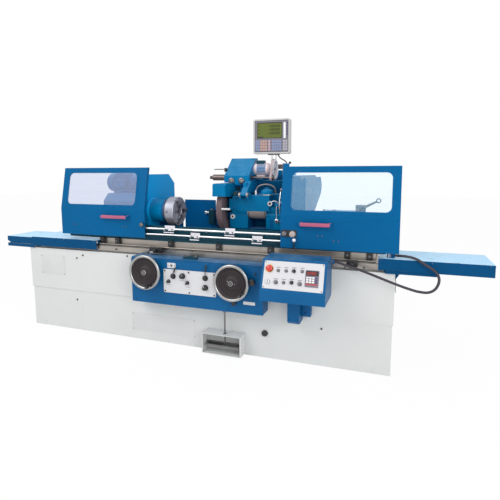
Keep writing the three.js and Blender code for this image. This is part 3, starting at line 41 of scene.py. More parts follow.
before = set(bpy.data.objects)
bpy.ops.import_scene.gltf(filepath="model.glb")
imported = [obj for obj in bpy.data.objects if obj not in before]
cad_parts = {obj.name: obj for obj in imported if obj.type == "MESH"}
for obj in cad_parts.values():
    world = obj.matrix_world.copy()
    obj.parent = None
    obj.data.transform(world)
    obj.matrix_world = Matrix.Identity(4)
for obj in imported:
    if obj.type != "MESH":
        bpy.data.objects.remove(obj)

# The conduit's route, as its solid has it
CONDUIT_ROUTE = [
    (1.1203, -0.302, 0.75), (1.138, -0.302, 0.75), (1.187, -0.3, 0.734), (1.261, -0.3, 0.714),
    (1.341, -0.3, 0.688), (1.419, -0.3, 0.661), (1.49, -0.3, 0.637), (1.56, -0.298, 0.615),
    (1.623, -0.296, 0.6), (1.679, -0.294, 0.599), (1.717, -0.29, 0.621), (1.736, -0.286, 0.662),
    (1.733, -0.282, 0.7), (1.707, -0.28, 0.734), (1.664, -0.274, 0.76), (1.615, -0.266, 0.79),
    (1.56, -0.234, 0.799), (1.502, -0.206, 0.796), (1.4843, -0.206, 0.796),
]

# Directions in which screw heads look
TO_FRONT, TO_BACK, TO_RIGHT, TO_LEFT, UPWARD = (0, -1, 0), (0, 1, 0), (1, 0, 0), (-1, 0, 0), (0, 0, 1)

# Lines along X that things turn about, as (y, z)
WORK_AXIS, WHEEL_AXIS, HINGE_AXIS = (-0.04, 1.017), (0.332, 1.017), (0.182, 1.1395)
BORE_AXIS, PULLEY_AXIS = (0.37, 1.274), (0.46, 1.342)

# Faces that pieces are set on, as y
DOOR_FACE, PLATE_FACE, KNOB_BASE, APRON_FACE = -0.2392, -0.3583, -0.3587, -0.3503

# Heights of the doors' windows and of the bend under them, and the lean above it in degrees
WINDOW_LOW, WINDOW_HIGH, DOOR_BEND, DOOR_LEAN = 1.067, 1.32, 1.034, 12

# Outward direction of the control box's sloping face, and the line that it climbs along
SLOPE_OUT = Vector((0.0, -0.9229, 0.385)).normalized()
SLOPE_UP = Vector((0.0, 0.385, 0.9229)).normalized()


def shade(red, green, blue):
    """Linear colour of a printed one, each part from 0 to 255."""
    def linear(part):
        part /= 255.0
        return part / 12.92 if part <= 0.04045 else ((part + 0.055) / 1.055) ** 2.4
    return (linear(red), linear(green), linear(blue), 1.0)


def colour(name, about, default):
    return FloatVectorProperty(name=name, description=about, default=default, size=4, min=0.0, max=1.0,
                               subtype="COLOR")


def length(name, about, default):
    return FloatProperty(name=name, description=about, default=default, min=0.0, unit="LENGTH",
                         subtype="DISTANCE")


class GrinderColours(bpy.types.PropertyGroup):
    """Colours of the machine's finishes."""

    blue: colour("Blue", "Doors and tailstock", shade(0, 89, 140))
    apron: colour("Apron blue", "Apron and control box", shade(12, 87, 138))
    # Guard blue is the blue made darker as painted shade on the guards' fronts and on the trays under them.
    guard: colour("Guard blue", "Way guards at the table's ends", shade(0, 70, 114))
    # Head blue is lighter and more teal than the blue: the teal is the head's own hue, the extra lightness is
    # painted light that makes up for the shade under the doors and attachment.
    head: colour("Head blue", "Wheelhead and its attachment", shade(0, 116, 168))
    # Workhead blue is the blue made brighter as painted light on the end panel, which faces the light from the
    # right.
    workhead: colour("Workhead blue", "Workhead and its end panel", shade(0, 146, 212))
    # Navy is the splash panel's own paint; on the sheets that line hollows and gaps it is painted shade.
    navy: colour("Navy", "Splash panel and hollows", shade(4, 94, 150))
    bed: colour("Bed", "Bed casting and foot control", shade(207, 209, 208))
    teal: colour("Dark teal", "Gutter and small brackets", shade(18, 66, 82))
    panel: colour("Panel", "Knob plate and control panel", shade(206, 206, 209))
    pull: colour("Door handle", "Moulded handles of the doors", shade(170, 80, 112))
    stop: colour("Emergency stop", "Mushroom head of the stop button", shade(196, 44, 34))
    wheel: colour("Abrasive", "Vitrified grinding wheel", shade(120, 102, 108))
    conduit: colour("Conduit", "Sleeve of the flexible conduit", shade(52, 46, 56))
    screen: colour("Screen", "Read-out's display", shade(84, 97, 22))
    shell: colour("Shell", "Read-out's housing", shade(196, 194, 192))


class GrinderSizes(bpy.types.PropertyGroup):
    """Small sizes of the fine pieces."""

    casting_edge: length("Casting edge", "Rounding of cast edges", 0.005)
    sheet_edge: length("Sheet edge", "Rounding of folded sheet", 0.0012)
    machined_edge: length("Machined edge", "Chamfer on ground and turned pieces", 0.0015)
    screw_radius: length("Screw radius", "Head radius of the common cap screw", 0.008)
    gasket: length("Window gasket", "Width of the strip round each window", 0.012)


class GrinderStage(bpy.types.PropertyGroup):
    """Light and floor."""

    key_power: FloatProperty(name="Key lamp", description="Power of the large lamp", default=120.0, min=0.0,
                             unit="POWER")
    fill_power: FloatProperty(name="Fill lamp", description="Power of the front lamp", default=105.0, min=0.0,
                              unit="POWER")
    sky: FloatProperty(name="Sky", description="Even light from all round", default=0.72, min=0.0)
    floor_size: length("Floor", "Side of the pale floor", 40.0)
    round_steps: IntProperty(name="Steps", description="Sides of a turned piece", default=64, min=12, max=256)


class Graph:
    """Short calls for one node tree."""

    def __init__(self, tree):
        self.tree = tree

    def add(self, kind, inputs=None, **settings):
        made = self.tree.nodes.new(kind)
        for name, value in settings.items():
            setattr(made, name, value)
        for name, value in (inputs or {}).items():
            self.feed(made, name, value)
        return made

    def feed(self, made, name, value):
        if isinstance(value, bpy.types.NodeSocket):
            self.tree.links.new(value, made.inputs[name])
        else:
            made.inputs[name].default_value = value

    def maths(self, operation, first, second=0.0):
        return self.add("ShaderNodeMath", {0: first, 1: second}, operation=operation).outputs[0]

    def spread(self, value, low, high, to_low, to_high):
        inputs = {"Value": value, "From Min": low, "From Max": high, "To Min": to_low, "To Max": to_high}
        return self.add("ShaderNodeMapRange", inputs).outputs["Result"]

    def mix(self, factor, first, second, blend="MIX"):
        made = self.add("ShaderNodeMix", data_type="RGBA", blend_type=blend)
        self.feed(made, 0, factor)
        self.feed(made, 6, first)
        self.feed(made, 7, second)
        return made.outputs[2]

    def noise(self, place, scale, detail=3.0, roughness=0.55):
        inputs = {"Vector": place, "Scale": scale, "Detail": detail, "Roughness": roughness}
        return self.add("ShaderNodeTexNoise", inputs).outputs["Fac"]

    def place(self):
        return self.add("ShaderNodeTexCoord").outputs["Object"]


def shared_group(name, inputs, outputs, wire):
    """The node group of that name, made and wired the first time that a finish asks for it."""
    if name in bpy.data.node_groups:
        return bpy.data.node_groups[name]
    tree = bpy.data.node_groups.new(name, "ShaderNodeTree")
    for label, default in inputs:
        kind = "NodeSocketVector" if isinstance(default, tuple) else "NodeSocketFloat"
        tree.interface.new_socket(name=label, in_out="INPUT", socket_type=kind).default_value = default
    for label in outputs:
        tree.interface.new_socket(name=label, in_out="OUTPUT", socket_type="NodeSocketFloat")
    g = Graph(tree)
    wire(g, g.add("NodeGroupInput").outputs, g.add("NodeGroupOutput"))
    return tree


def paint_film_group():
    """Sprayed paint: slow changes of tone, and the fine peel of the film."""
    def wire(g, given, out):
        at = g.place()
        slow = g.noise(at, given["Scale"])
        low = g.maths("SUBTRACT", 1.0, given["Tone"])
        g.feed(out, "Tone", g.spread(slow, 0.3, 0.7, low, g.maths("ADD", 1.0, given["Tone"])))
        g.feed(out, "Height", g.noise(at, given["Peel"], 2.0))
        g.feed(out, "Gloss", g.spread(g.noise(at, g.maths("MULTIPLY", given["Scale"], 4.0)), 0.3, 0.7, -0.05,
                                      0.07))

    return shared_group("paint_film", [("Scale", 3.0), ("Tone", 0.06), ("Peel", 260.0)],
                        ["Tone", "Height", "Gloss"], wire)


def worn_edge_group():
    """Edges rubbed through by hands, rags and workpieces, broken up by noise."""
    def wire(g, given, out):
        rounded = g.add("ShaderNodeBevel", {"Radius": given["Width"]}, samples=4).outputs["Normal"]
        flat = g.add("ShaderNodeNewGeometry").outputs["True Normal"]
        dot = g.add("ShaderNodeVectorMath", {0: rounded, 1: flat}, operation="DOT_PRODUCT").outputs["Value"]
        edge = g.spread(dot, 0.995, 0.86, 0.0, 1.0)
        broken = g.spread(g.noise(g.place(), 38.0, 6.0, 0.7), 0.48, 0.66, 0.0, 1.0)
        g.feed(out, "Mask", g.maths("MULTIPLY", g.maths("MULTIPLY", edge, broken), given["Amount"]))

    return shared_group("worn_edge", [("Width", 0.004), ("Amount", 0.6)], ["Mask"], wire)


def up_facing_dust_and_light_group():
    """Mask of faces that look up, broken into patches and scaled by Amount: real grinding dust where a grey is
    mixed in, painted top light where pale blue is mixed in.
    """
    def wire(g, given, out):
        normal = g.add("ShaderNodeNewGeometry").outputs["Normal"]
        up = g.add("ShaderNodeSeparateXYZ", {"Vector": normal}).outputs["Z"]
        flat = g.spread(up, 0.55, 1.0, 0.0, 1.0)
        patches = g.spread(g.noise(g.place(), 7.0, 5.0, 0.65), 0.35, 0.75, 0.1, 1.0)
        g.feed(out, "Mask", g.maths("MULTIPLY", g.maths("MULTIPLY", flat, patches), given["Amount"]))

    return shared_group("settled_dust", [("Amount", 0.25)], ["Mask"], wire)


def machined_lay_group():
    """Fine lines that a grinding pass leaves, drawn out along the axis with the smallest stretch."""
    def wire(g, given, out):
        at = g.add("ShaderNodeVectorMath", {0: g.place(), 1: given["Stretch"]},
                   operation="MULTIPLY").outputs["Vector"]
        lines = g.noise(at, 1.0, 4.0, 0.6)
        g.feed(out, "Height", g.maths("MULTIPLY", lines, given["Depth"]))
        g.feed(out, "Gloss", g.spread(lines, 0.3, 0.7, -0.09, 0.09))

    return shared_group("machined_lay", [("Stretch", (4.0, 260.0, 260.0)), ("Depth", 1.0)],
                        ["Height", "Gloss"], wire)


def place_group(g, group, **values):
    made = g.add("ShaderNodeGroup", node_tree=group)
    for name, value in values.items():
        g.feed(made, name, value)
    return made


# Pale blue painted onto blue faces that look up: a painted highlight of the light on the tops, not a film
PAINTED_TOP_LIGHT = (0.44, 0.74, 0.98, 1.0)


def new_finish(name):
    """An empty material with its surface node, ready to be wired."""
    material = bpy.data.materials.new(name)
    material.use_nodes = True
    g = Graph(material.node_tree)
    surface = material.node_tree.nodes["Principled BSDF"]
    return material, g, surface


def bumped(g, surface, height, strength, distance=0.0006):
    bump = g.add("ShaderNodeBump", {"Height": height, "Strength": strength, "Distance": distance})
    g.feed(surface, "Normal", bump.outputs["Normal"])


def painted(name, tint, rough=0.34, wear=0.35, dust=0.18, tone=0.05, peel=260.0, gloss=0.3,
            dust_and_light_tint=(0.62, 0.66, 0.7, 1.0)):
    """Sprayed machine paint over metal; faces that look up get a tint mixed in, which is real dust when grey
    and painted top light when pale blue.
    """
    material, g, surface = new_finish(name)
    film = place_group(g, paint_film_group(), Scale=2.6, Tone=tone, Peel=peel)
    worn = place_group(g, worn_edge_group(), Width=0.0035, Amount=wear).outputs["Mask"]
    dust_and_top_light_mask = place_group(g, up_facing_dust_and_light_group(), Amount=dust).outputs["Mask"]
    toned = g.mix(1.0, tuple(tint), film.outputs["Tone"], "MULTIPLY")
    with_dust_and_top_light = g.mix(dust_and_top_light_mask, toned, dust_and_light_tint)
    g.feed(surface, "Base Color", g.mix(worn, with_dust_and_top_light, (0.32, 0.32, 0.33, 1.0)))
    g.feed(surface, "Roughness", g.maths("ADD", film.outputs["Gloss"], rough))
    g.feed(surface, "Metallic", g.maths("MULTIPLY", worn, 0.8))
    surface.inputs["Specular IOR Level"].default_value = gloss
    bumped(g, surface, film.outputs["Height"], 0.12)
    return material


def metal(name, tint, rough=0.3, stretch=(4.0, 260.0, 260.0), depth=0.25, stain=0.2, bare=1.0):
    """Bare metal with the lines of its last machining and thin oil stains."""
    material, g, surface = new_finish(name)
    lay = place_group(g, machined_lay_group(), Stretch=stretch)
    film = place_group(g, paint_film_group(), Scale=6.0, Tone=0.09, Peel=90.0)
    patches = g.spread(g.noise(g.place(), 9.0, 5.0, 0.65), 0.55, 0.75, 0.0, stain)
    toned = g.mix(1.0, tuple(tint), film.outputs["Tone"], "MULTIPLY")
    g.feed(surface, "Base Color", g.mix(patches, toned, (0.2, 0.19, 0.18, 1.0)))
    g.feed(surface, "Roughness", g.maths("ADD", g.maths("ADD", lay.outputs["Gloss"], rough),
                                         g.maths("MULTIPLY", patches, 0.4)))
    surface.inputs["Metallic"].default_value = bare
    bumped(g, surface, lay.outputs["Height"], depth, 0.0003)
    return material


def moulded(name, tint, rough=0.42, coat=0.0, tone=0.05, grain=420.0, dust=0.1):
    """Moulded plastic or rubber with a fine spark grain."""
    material, g, surface = new_finish(name)
    film = place_group(g, paint_film_group(), Scale=8.0, Tone=tone, Peel=grain)
    dust_and_top_light_mask = place_group(g, up_facing_dust_and_light_group(), Amount=dust).outputs["Mask"]
    toned = g.mix(1.0, tuple(tint), film.outputs["Tone"], "MULTIPLY")
    g.feed(surface, "Base Color", g.mix(dust_and_top_light_mask, toned, (0.5, 0.5, 0.5, 1.0)))
    g.feed(surface, "Roughness", g.maths("ADD", film.outputs["Gloss"], rough))
    surface.inputs["Coat Weight"].default_value = coat
    bumped(g, surface, film.outputs["Height"], 0.2, 0.0004)
    return material


def abrasive(name, tint):
    """Vitrified grit: pale and dark grains in a bond."""
    material, g, surface = new_finish(name)
    at = g.place()
    grains = g.add("ShaderNodeTexVoronoi", {"Vector": at, "Scale": 420.0})
    sparkle = g.spread(grains.outputs["Distance"], 0.1, 0.7, 1.25, 0.7)
    film = place_group(g, paint_film_group(), Scale=14.0, Tone=0.14, Peel=300.0)
    toned = g.mix(1.0, tuple(tint), film.outputs["Tone"], "MULTIPLY")
    g.feed(surface, "Base Color", g.mix(1.0, toned, sparkle, "MULTIPLY"))
    surface.inputs["Roughness"].default_value = 0.85
    bumped(g, surface, grains.outputs["Distance"], 0.7, 0.0012)
    return material


def clear_sheet(name, tint, low, high):
    """Clear plastic pane with a tint, wiping marks and a haze between the two alpha values."""
    material, g, surface = new_finish(name)
    marks = g.noise(g.add("ShaderNodeVectorMath", {0: g.place(), 1: (3.0, 3.0, 24.0)},
                          operation="MULTIPLY").outputs["Vector"], 1.0, 4.0)
    g.feed(surface, "Base Color", g.mix(g.spread(marks, 0.35, 0.7, 0.0, 1.0), tint,
                                        (tint[0] * 1.04, tint[1] * 1.04, tint[2], 1.0)))
    g.feed(surface, "Roughness", g.spread(marks, 0.3, 0.7, 0.06, 0.14))
    g.feed(surface, "Alpha", g.spread(marks, 0.3, 0.75, low, high))
    surface.inputs["IOR"].default_value = 1.45
    return material


def display(name, tint, glow):
    """Lit display behind a glossy sheet, with a fine pattern of darker cells."""
    material, g, surface = new_finish(name)
    cells = g.add("ShaderNodeTexVoronoi", {"Vector": g.place(), "Scale": 900.0},
                  feature="F1").outputs["Distance"]
    toned = g.mix(g.spread(cells, 0.0, 0.8, 0.0, 0.35), tuple(tint), (0.05, 0.06, 0.02, 1.0))
    g.feed(surface, "Base Color", toned)
    g.feed(surface, "Emission Color", toned)
    surface.inputs["Emission Strength"].default_value = glow
    g.feed(surface, "Roughness", g.spread(cells, 0.0, 1.0, 0.12, 0.2))
    return material


# How a metal's machining lines are drawn out along X, Y and Z
TURNED_LINES, FINE_GRAIN, CAST_GRAIN = (260.0, 14.0, 14.0), (30.0, 30.0, 30.0), (120.0, 120.0, 120.0)

# Each finish's maker, its colour or the name of its colour property, and what else the maker is given
LOOKS = {
    # In the blue paints below, the pale blue mixed into faces that look up is painted top light, not dust; the
    # guard paint's large amount makes the guards' tops pale all over.
    "blue_paint": (painted, "blue", dict(rough=0.3, dust_and_light_tint=PAINTED_TOP_LIGHT, dust=0.5, gloss=0.08)),
    "guard_paint": (painted, "guard", dict(rough=0.3, wear=0.5, dust=5.0, gloss=0.08, dust_and_light_tint=PAINTED_TOP_LIGHT)),
    "head_paint": (painted, "head", dict(rough=0.3, dust_and_light_tint=PAINTED_TOP_LIGHT, dust=0.22, gloss=0.08)),
    "workhead_paint": (painted, "workhead", dict(rough=0.32, dust_and_light_tint=PAINTED_TOP_LIGHT, dust=0.4, gloss=0.08)),
    "navy_paint": (painted, "navy", dict(rough=0.4, dust_and_light_tint=PAINTED_TOP_LIGHT, dust=0.2, gloss=0.08)),
    "apron_paint": (painted, "apron", dict(rough=0.34, dust_and_light_tint=PAINTED_TOP_LIGHT, dust=0.25, gloss=0.14)),
    "bed_paint": (painted, "bed", dict(rough=0.5, wear=0.2, dust=0.05, tone=0.02, peel=140.0)),
    "bare_plate": (painted, shade(203, 204, 204), dict(rough=0.45, wear=0.1, dust=0.0, tone=0.05, peel=700.0)),
    "teal_paint": (painted, "teal", dict(rough=0.4, dust=0.1, gloss=0.15)),
    "panel_paint": (painted, "panel", dict(rough=0.42, wear=0.1, dust=0.03, tone=0.02, peel=500.0)),
    "ground_steel": (metal, shade(168, 162, 156), dict(rough=0.34)),
    "turned_steel": (metal, shade(150, 152, 158), dict(rough=0.27, stretch=TURNED_LINES, depth=0.2, stain=0.1)),
    "bright_rim": (metal, shade(222, 222, 224), dict(rough=0.16, stretch=FINE_GRAIN, depth=0.05, stain=0.05)),
    "wheel_rim": (metal, shade(168, 168, 168), dict(rough=0.3, stretch=FINE_GRAIN, depth=0.05, stain=0.1)),
    "sleeve_steel": (metal, shade(176, 164, 160),
                     dict(rough=0.5, stretch=(80.0, 80.0, 80.0), depth=0.2, stain=0.3, bare=0.35)),
    "chuck_steel": (metal, shade(158, 160, 172),
                    dict(rough=0.4, stretch=TURNED_LINES, depth=0.2, stain=0.1, bare=0.6)),
    # The darker steel below is painted shade on the chuck's back plate.
    "dark_steel": (metal, shade(74, 78, 92), dict(rough=0.45, stretch=TURNED_LINES, depth=0.2, stain=0.2,
                                                  bare=0.6)),
    "blotter": (moulded, shade(96, 76, 80), dict(rough=0.7, coat=0.0, tone=0.08, grain=300.0)),
    "dull_steel": (metal, shade(120, 118, 120),
                   dict(rough=0.42, stretch=(60.0, 60.0, 60.0), depth=0.3, stain=0.4)),
    "black_steel": (moulded, shade(26, 27, 31), dict(rough=0.36, coat=0.1, tone=0.12, grain=300.0)),
    "dish_paint": (moulded, shade(30, 18, 24), dict(rough=0.5, coat=0.0, tone=0.12, grain=200.0)),
    "black_plastic": (moulded, shade(24, 24, 28), dict(rough=0.34, coat=0.2)),
    "white_plastic": (moulded, shade(232, 232, 234), dict(rough=0.38, coat=0.1)),
    "pull_plastic": (moulded, "pull", dict(rough=0.36, coat=0.25)),
    "stop_plastic": (moulded, "stop", dict(rough=0.28, coat=0.4)),
    "shell_plastic": (moulded, "shell", dict(rough=0.45, coat=0.0, tone=0.03)),
    "bezel_plastic": (moulded, shade(118, 114, 126), dict(rough=0.42)),
    "violet_key": (moulded, shade(70, 58, 104), dict(rough=0.4)),
    "orange_key": (moulded, shade(192, 154, 142), dict(rough=0.4)),
    "red_key": (moulded, shade(186, 60, 56), dict(rough=0.4)),
    "blue_key": (moulded, shade(132, 146, 182), dict(rough=0.4)),
    "pink_enamel": (painted, shade(226, 210, 214), dict(rough=0.36, wear=0.2, dust=0.1)),
    "pale_cast": (painted, shade(218, 216, 222), dict(rough=0.34, wear=0.2, dust=0.0, tone=0.03, peel=300.0)),
    "brown_steel": (metal, shade(120, 108, 106), dict(rough=0.42, stretch=TURNED_LINES, depth=0.2, stain=0.3)),
    "dim_key": (moulded, shade(176, 172, 180), dict(rough=0.42)),
    "pink_key": (moulded, shade(196, 168, 176), dict(rough=0.42)),
    "conduit_sleeve": (moulded, "conduit", dict(rough=0.6, coat=0.0, tone=0.08, grain=160.0, dust=0.0)),
    "woven_belt": (moulded, shade(176, 160, 162), dict(rough=0.7, coat=0.0, tone=0.15, grain=120.0)),
    "belt_rubber": (moulded, shade(30, 30, 32), dict(rough=0.7, coat=0.0, tone=0.15, grain=120.0)),
    "aluminium": (metal, shade(206, 207, 210), dict(rough=0.3, stretch=CAST_GRAIN, depth=0.1, stain=0.08)),
    "brass": (metal, shade(196, 160, 92), dict(rough=0.28, stretch=CAST_GRAIN, depth=0.1, stain=0.2)),
    "abrasive": (abrasive, "wheel", {}),
    "clear_sheet": (clear_sheet, (0.43, 0.73, 0.98, 1.0), dict(low=0.12, high=0.15)),
    "hazy_sheet": (clear_sheet, (0.37, 0.45, 0.68, 1.0), dict(low=0.28, high=0.32)),
    "screen": (display, "screen", dict(glow=0.35)),
    "digits": (display, shade(36, 44, 14), dict(glow=0.0)),
    "red_digits": (display, shade(190, 40, 40), dict(glow=0.5)),
}


def finish(look):
    """The finish of that look, made the first time that a piece asks for it."""
    name = "dressed_" + look
    if name in bpy.data.materials:
        return bpy.data.materials[name]
    maker, tint, given = LOOKS[look]
    if isinstance(tint, str):
        tint = getattr(bpy.context.scene.grinder_colours, tint)
    return maker(name, tint, **given)


AXIS_ROWS = {
    "x": Matrix(((0, 0, 1, 0), (1, 0, 0, 0), (0, 1, 0, 0), (0, 0, 0, 1))),
    "y": Matrix(((1, 0, 0, 0), (0, 0, 1, 0), (0, 1, 0, 0), (0, 0, 0, 1))),
    "z": Matrix.Identity(4),
}


def facing(at, out, up=Vector((0, 0, 1))):
    """Matrix of a small frame at a point: its Z looks out of the surface, its Y up along it."""
    z = Vector(out).normalized()
    x = Vector(up).cross(z).normalized()
    y = z.cross(x)
    return Matrix.Translation(Vector(at)) @ Matrix((x, y, z)).transposed().to_4x4()


def spun(at, angle, axis):
    """Matrix of a turn by an angle about an axis that passes through a point."""
    return Matrix.Translation(at) @ Matrix.Rotation(angle, 4, axis)


class Piece:
    """One mesh gathered from parts, each with its own finish."""

    def __init__(self, name):
        self.name = name
        self.whole = bmesh.new()
        self.finishes = []

    def take(self, part, look, matrix=None, edge=0.0, steps=2):
        """Rounds a part's sharp edges, places it and adds it to the piece."""
        bmesh.ops.recalc_face_normals(part, faces=part.faces[:])
        if edge:
            edges = [e for e in part.edges if len(e.link_faces) == 2 and e.calc_face_angle() > math.radians(30)]
            bmesh.ops.bevel(part, geom=edges, offset=edge, offset_type="OFFSET", segments=steps, profile=0.5,
                            affect="EDGES", clamp_overlap=True)
        if matrix is not None:
            part.transform(matrix)
            if matrix.determinant() < 0:
                bmesh.ops.reverse_faces(part, faces=part.faces[:])
        if look not in self.finishes:
            self.finishes.append(look)
        for face in part.faces:
            face.material_index = self.finishes.index(look)
        held = bpy.data.meshes.new("part")
        part.to_mesh(held)
        part.free()
        self.whole.from_mesh(held)
        bpy.data.meshes.remove(held)

    def prism(self, axis, outline, start, end, look, edge=0.0, matrix=None, steps=2):
        """An outline pushed along an axis: (y, z) for x, (x, z) for y and (x, y) for z."""
        part = bmesh.new()
        rows = AXIS_ROWS[axis]
        ends = [[part.verts.new(rows @ Vector((u, v, w))) for u, v in outline] for w in (start, end)]
        part.faces.new(ends[0][::-1])
        part.faces.new(ends[1])
        for i in range(len(outline)):
            k = (i + 1) % len(outline)
            part.faces.new((ends[0][i], ends[0][k], ends[1][k], ends[1][i]))
        self.take(part, look, matrix, edge, steps)

    def block(self, low, high, look, edge=0.001, matrix=None, steps=2):
        outline = [(low[0], low[1]), (high[0], low[1]), (high[0], high[1]), (low[0], high[1])]
        self.prism("z", outline, low[2], high[2], look, edge, matrix, steps)

    def turned(self, axis, profile, u, v, look, steps=None, matrix=None):
        """A turned shape about a line along an axis, from (distance along, radius) pairs."""
        steps = steps or bpy.context.scene.grinder_stage.round_steps
        part = bmesh.new()
        rows = AXIS_ROWS[axis]
        rings = []
        for along, radius in profile:
            if radius < 1e-6:
                rings.append([part.verts.new(rows @ Vector((u, v, along)))])
                continue
            ring = []
            for i in range(steps):
                a = 2 * math.pi * i / steps
                ring.append(part.verts.new(rows @ Vector((u + radius * math.cos(a), v + radius * math.sin(a),
                                                          along))))
            rings.append(ring)
        for low, high in zip(rings, rings[1:]):
            for i in range(steps):
                k = (i + 1) % steps
                around = [low[i % len(low)], low[k % len(low)], high[k % len(high)], high[i % len(high)]]
                corners = list(dict.fromkeys(around))
                if len(corners) > 2:
                    part.faces.new(corners)
        self.take(part, look, matrix)

    def fins(self, count, at, axis, low, high, look, edge):
        """Equal blocks set evenly round an axis."""
        for i in range(count):
            self.block(low, high, look, edge, spun(at, 2 * math.pi * i / count, axis))

    def ball(self, at, radius, look):
        part = bmesh.new()
        bmesh.ops.create_uvsphere(part, u_segments=24, v_segments=12, radius=radius)
        self.take(part, look, Matrix.Translation(Vector(at)))

    def tube(self, points, radius, look, sides=14, smooth=6):
        """A pipe or hose along points, closed at both ends."""
        route = rounded_route(points, smooth)
        part = bmesh.new()
        rings = []
        side = None
        for i, at in enumerate(route):
            heading = (route[min(i + 1, len(route) - 1)] - route[max(i - 1, 0)]).normalized()
            if side is None:
                side = heading.orthogonal().normalized()
            side = (side - heading * side.dot(heading)).normalized()
            other = heading.cross(side)
            turn = [2 * math.pi * k / sides for k in range(sides)]
            spokes = [math.cos(a) * side + math.sin(a) * other for a in turn]
            rings.append([part.verts.new(at + radius * spoke) for spoke in spokes])
        part.faces.new(rings[0][::-1])
        part.faces.new(rings[-1])
        for low, high in zip(rings, rings[1:]):
            for i in range(sides):
                k = (i + 1) % sides
                part.faces.new((low[i], low[k], high[k], high[i]))
        self.take(part, look)

    def screw(self, at, out, radius=None, look="dull_steel"):
        """Socket cap screw: a chamfered head with a dark hexagon sunk in it."""
        r = radius or bpy.context.scene.grinder_sizes.screw_radius
        matrix = facing(at, out)
        profile = [(-0.2 * r, 0), (-0.2 * r, r), (0.7 * r, r), (0.85 * r, 0.85 * r), (0.85 * r, 0.5 * r),
                   (0.4 * r, 0.45 * r), (0.4 * r, 0)]
        self.turned("z", profile, 0, 0, look, 18, matrix)

    def screws(self, xs, ys, zs, out, radius=None, look="dull_steel"):
        """A screw wherever the given places meet; a place is one number or several."""
        for at in itertools.product(*(v if isinstance(v, tuple) else (v,) for v in (xs, ys, zs))):
            self.screw(at, out, radius, look)

    def done(self, body, slot, *nodes):
        """Makes the object, which rides on a body and may stand for nodes."""
        mesh = bpy.data.meshes.new(self.name)
        for edge in self.whole.edges:
            edge.smooth = len(edge.link_faces) == 2 and edge.calc_face_angle() < math.radians(38)
        for face in self.whole.faces:
            face.smooth = True
        self.whole.to_mesh(mesh)
        self.whole.free()
        for look in self.finishes:
            mesh.materials.append(finish(look))
        made = bpy.data.objects.new(self.name, mesh)
        bpy.context.scene.collection.objects.link(made)
        made.modifiers.new("even_shading", "WEIGHTED_NORMAL").keep_sharp = True
        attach(made, body)
        if nodes:
            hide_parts(*nodes)
        return made


def rounded_route(points, per):
    """Points of a smooth curve through the given ones."""
    at = [Vector(p) for p in points]
    if per < 2 or len(at) < 3:
        return at
    route = []
    for i in range(len(at) - 1):
        a, b, c, d = at[max(i - 1, 0)], at[i], at[i + 1], at[min(i + 2, len(at) - 1)]
        for k in range(per):
            t = k / per
            bend = (2 * a - 5 * b + 4 * c - d) * t * t
            route.append(0.5 * (2 * b + (c - a) * t + bend + (3 * b - a - 3 * c + d) * t ** 3))
    route.append(at[-1])
    return route


def rounded_outline(left, right, low, high, radius, steps=5):
    """Rectangle with round corners."""
    points = []
    l, r, b, t = left + radius, right - radius, low + radius, high - radius
    for x, z, start in ((r, t, 0), (l, t, 90), (l, b, 180), (r, b, 270)):
        for i in range(steps + 1):
            a = math.radians(start + 90 * i / steps)
            points.append((x + radius * math.cos(a), z + radius * math.sin(a)))
    return points


def dress(node, look, edge):
    """Gives a CAD node its finish, rounded edges and even shading, with its own shape kept."""
    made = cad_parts[node]
    if made.material_slots:
        for held in made.material_slots:
            held.material = finish(look)
    else:
        made.data.materials.append(finish(look))
    for face in made.data.polygons:
        face.use_smooth = True
    flat = made.modifiers.new("flat_faces", "DECIMATE")
    flat.decimate_type = "DISSOLVE"
    flat.angle_limit = math.radians(0.6)
    rounding = made.modifiers.new("rounded_edges", "BEVEL")
    rounding.width = edge
    rounding.segments = 2
    rounding.limit_method = "ANGLE"
    rounding.angle_limit = math.radians(32)
    rounding.harden_normals = True
    made.modifiers.new("even_shading", "WEIGHTED_NORMAL").keep_sharp = True


# The photograph's camera: where it stands, its yaw, pitch and roll in degrees, and its lens in millimetres
CAMERA_AT, CAMERA_ANGLES, CAMERA_LENS = (1.46, -2.912, 1.33), (19.23, 6.82, -0.21), 29.57


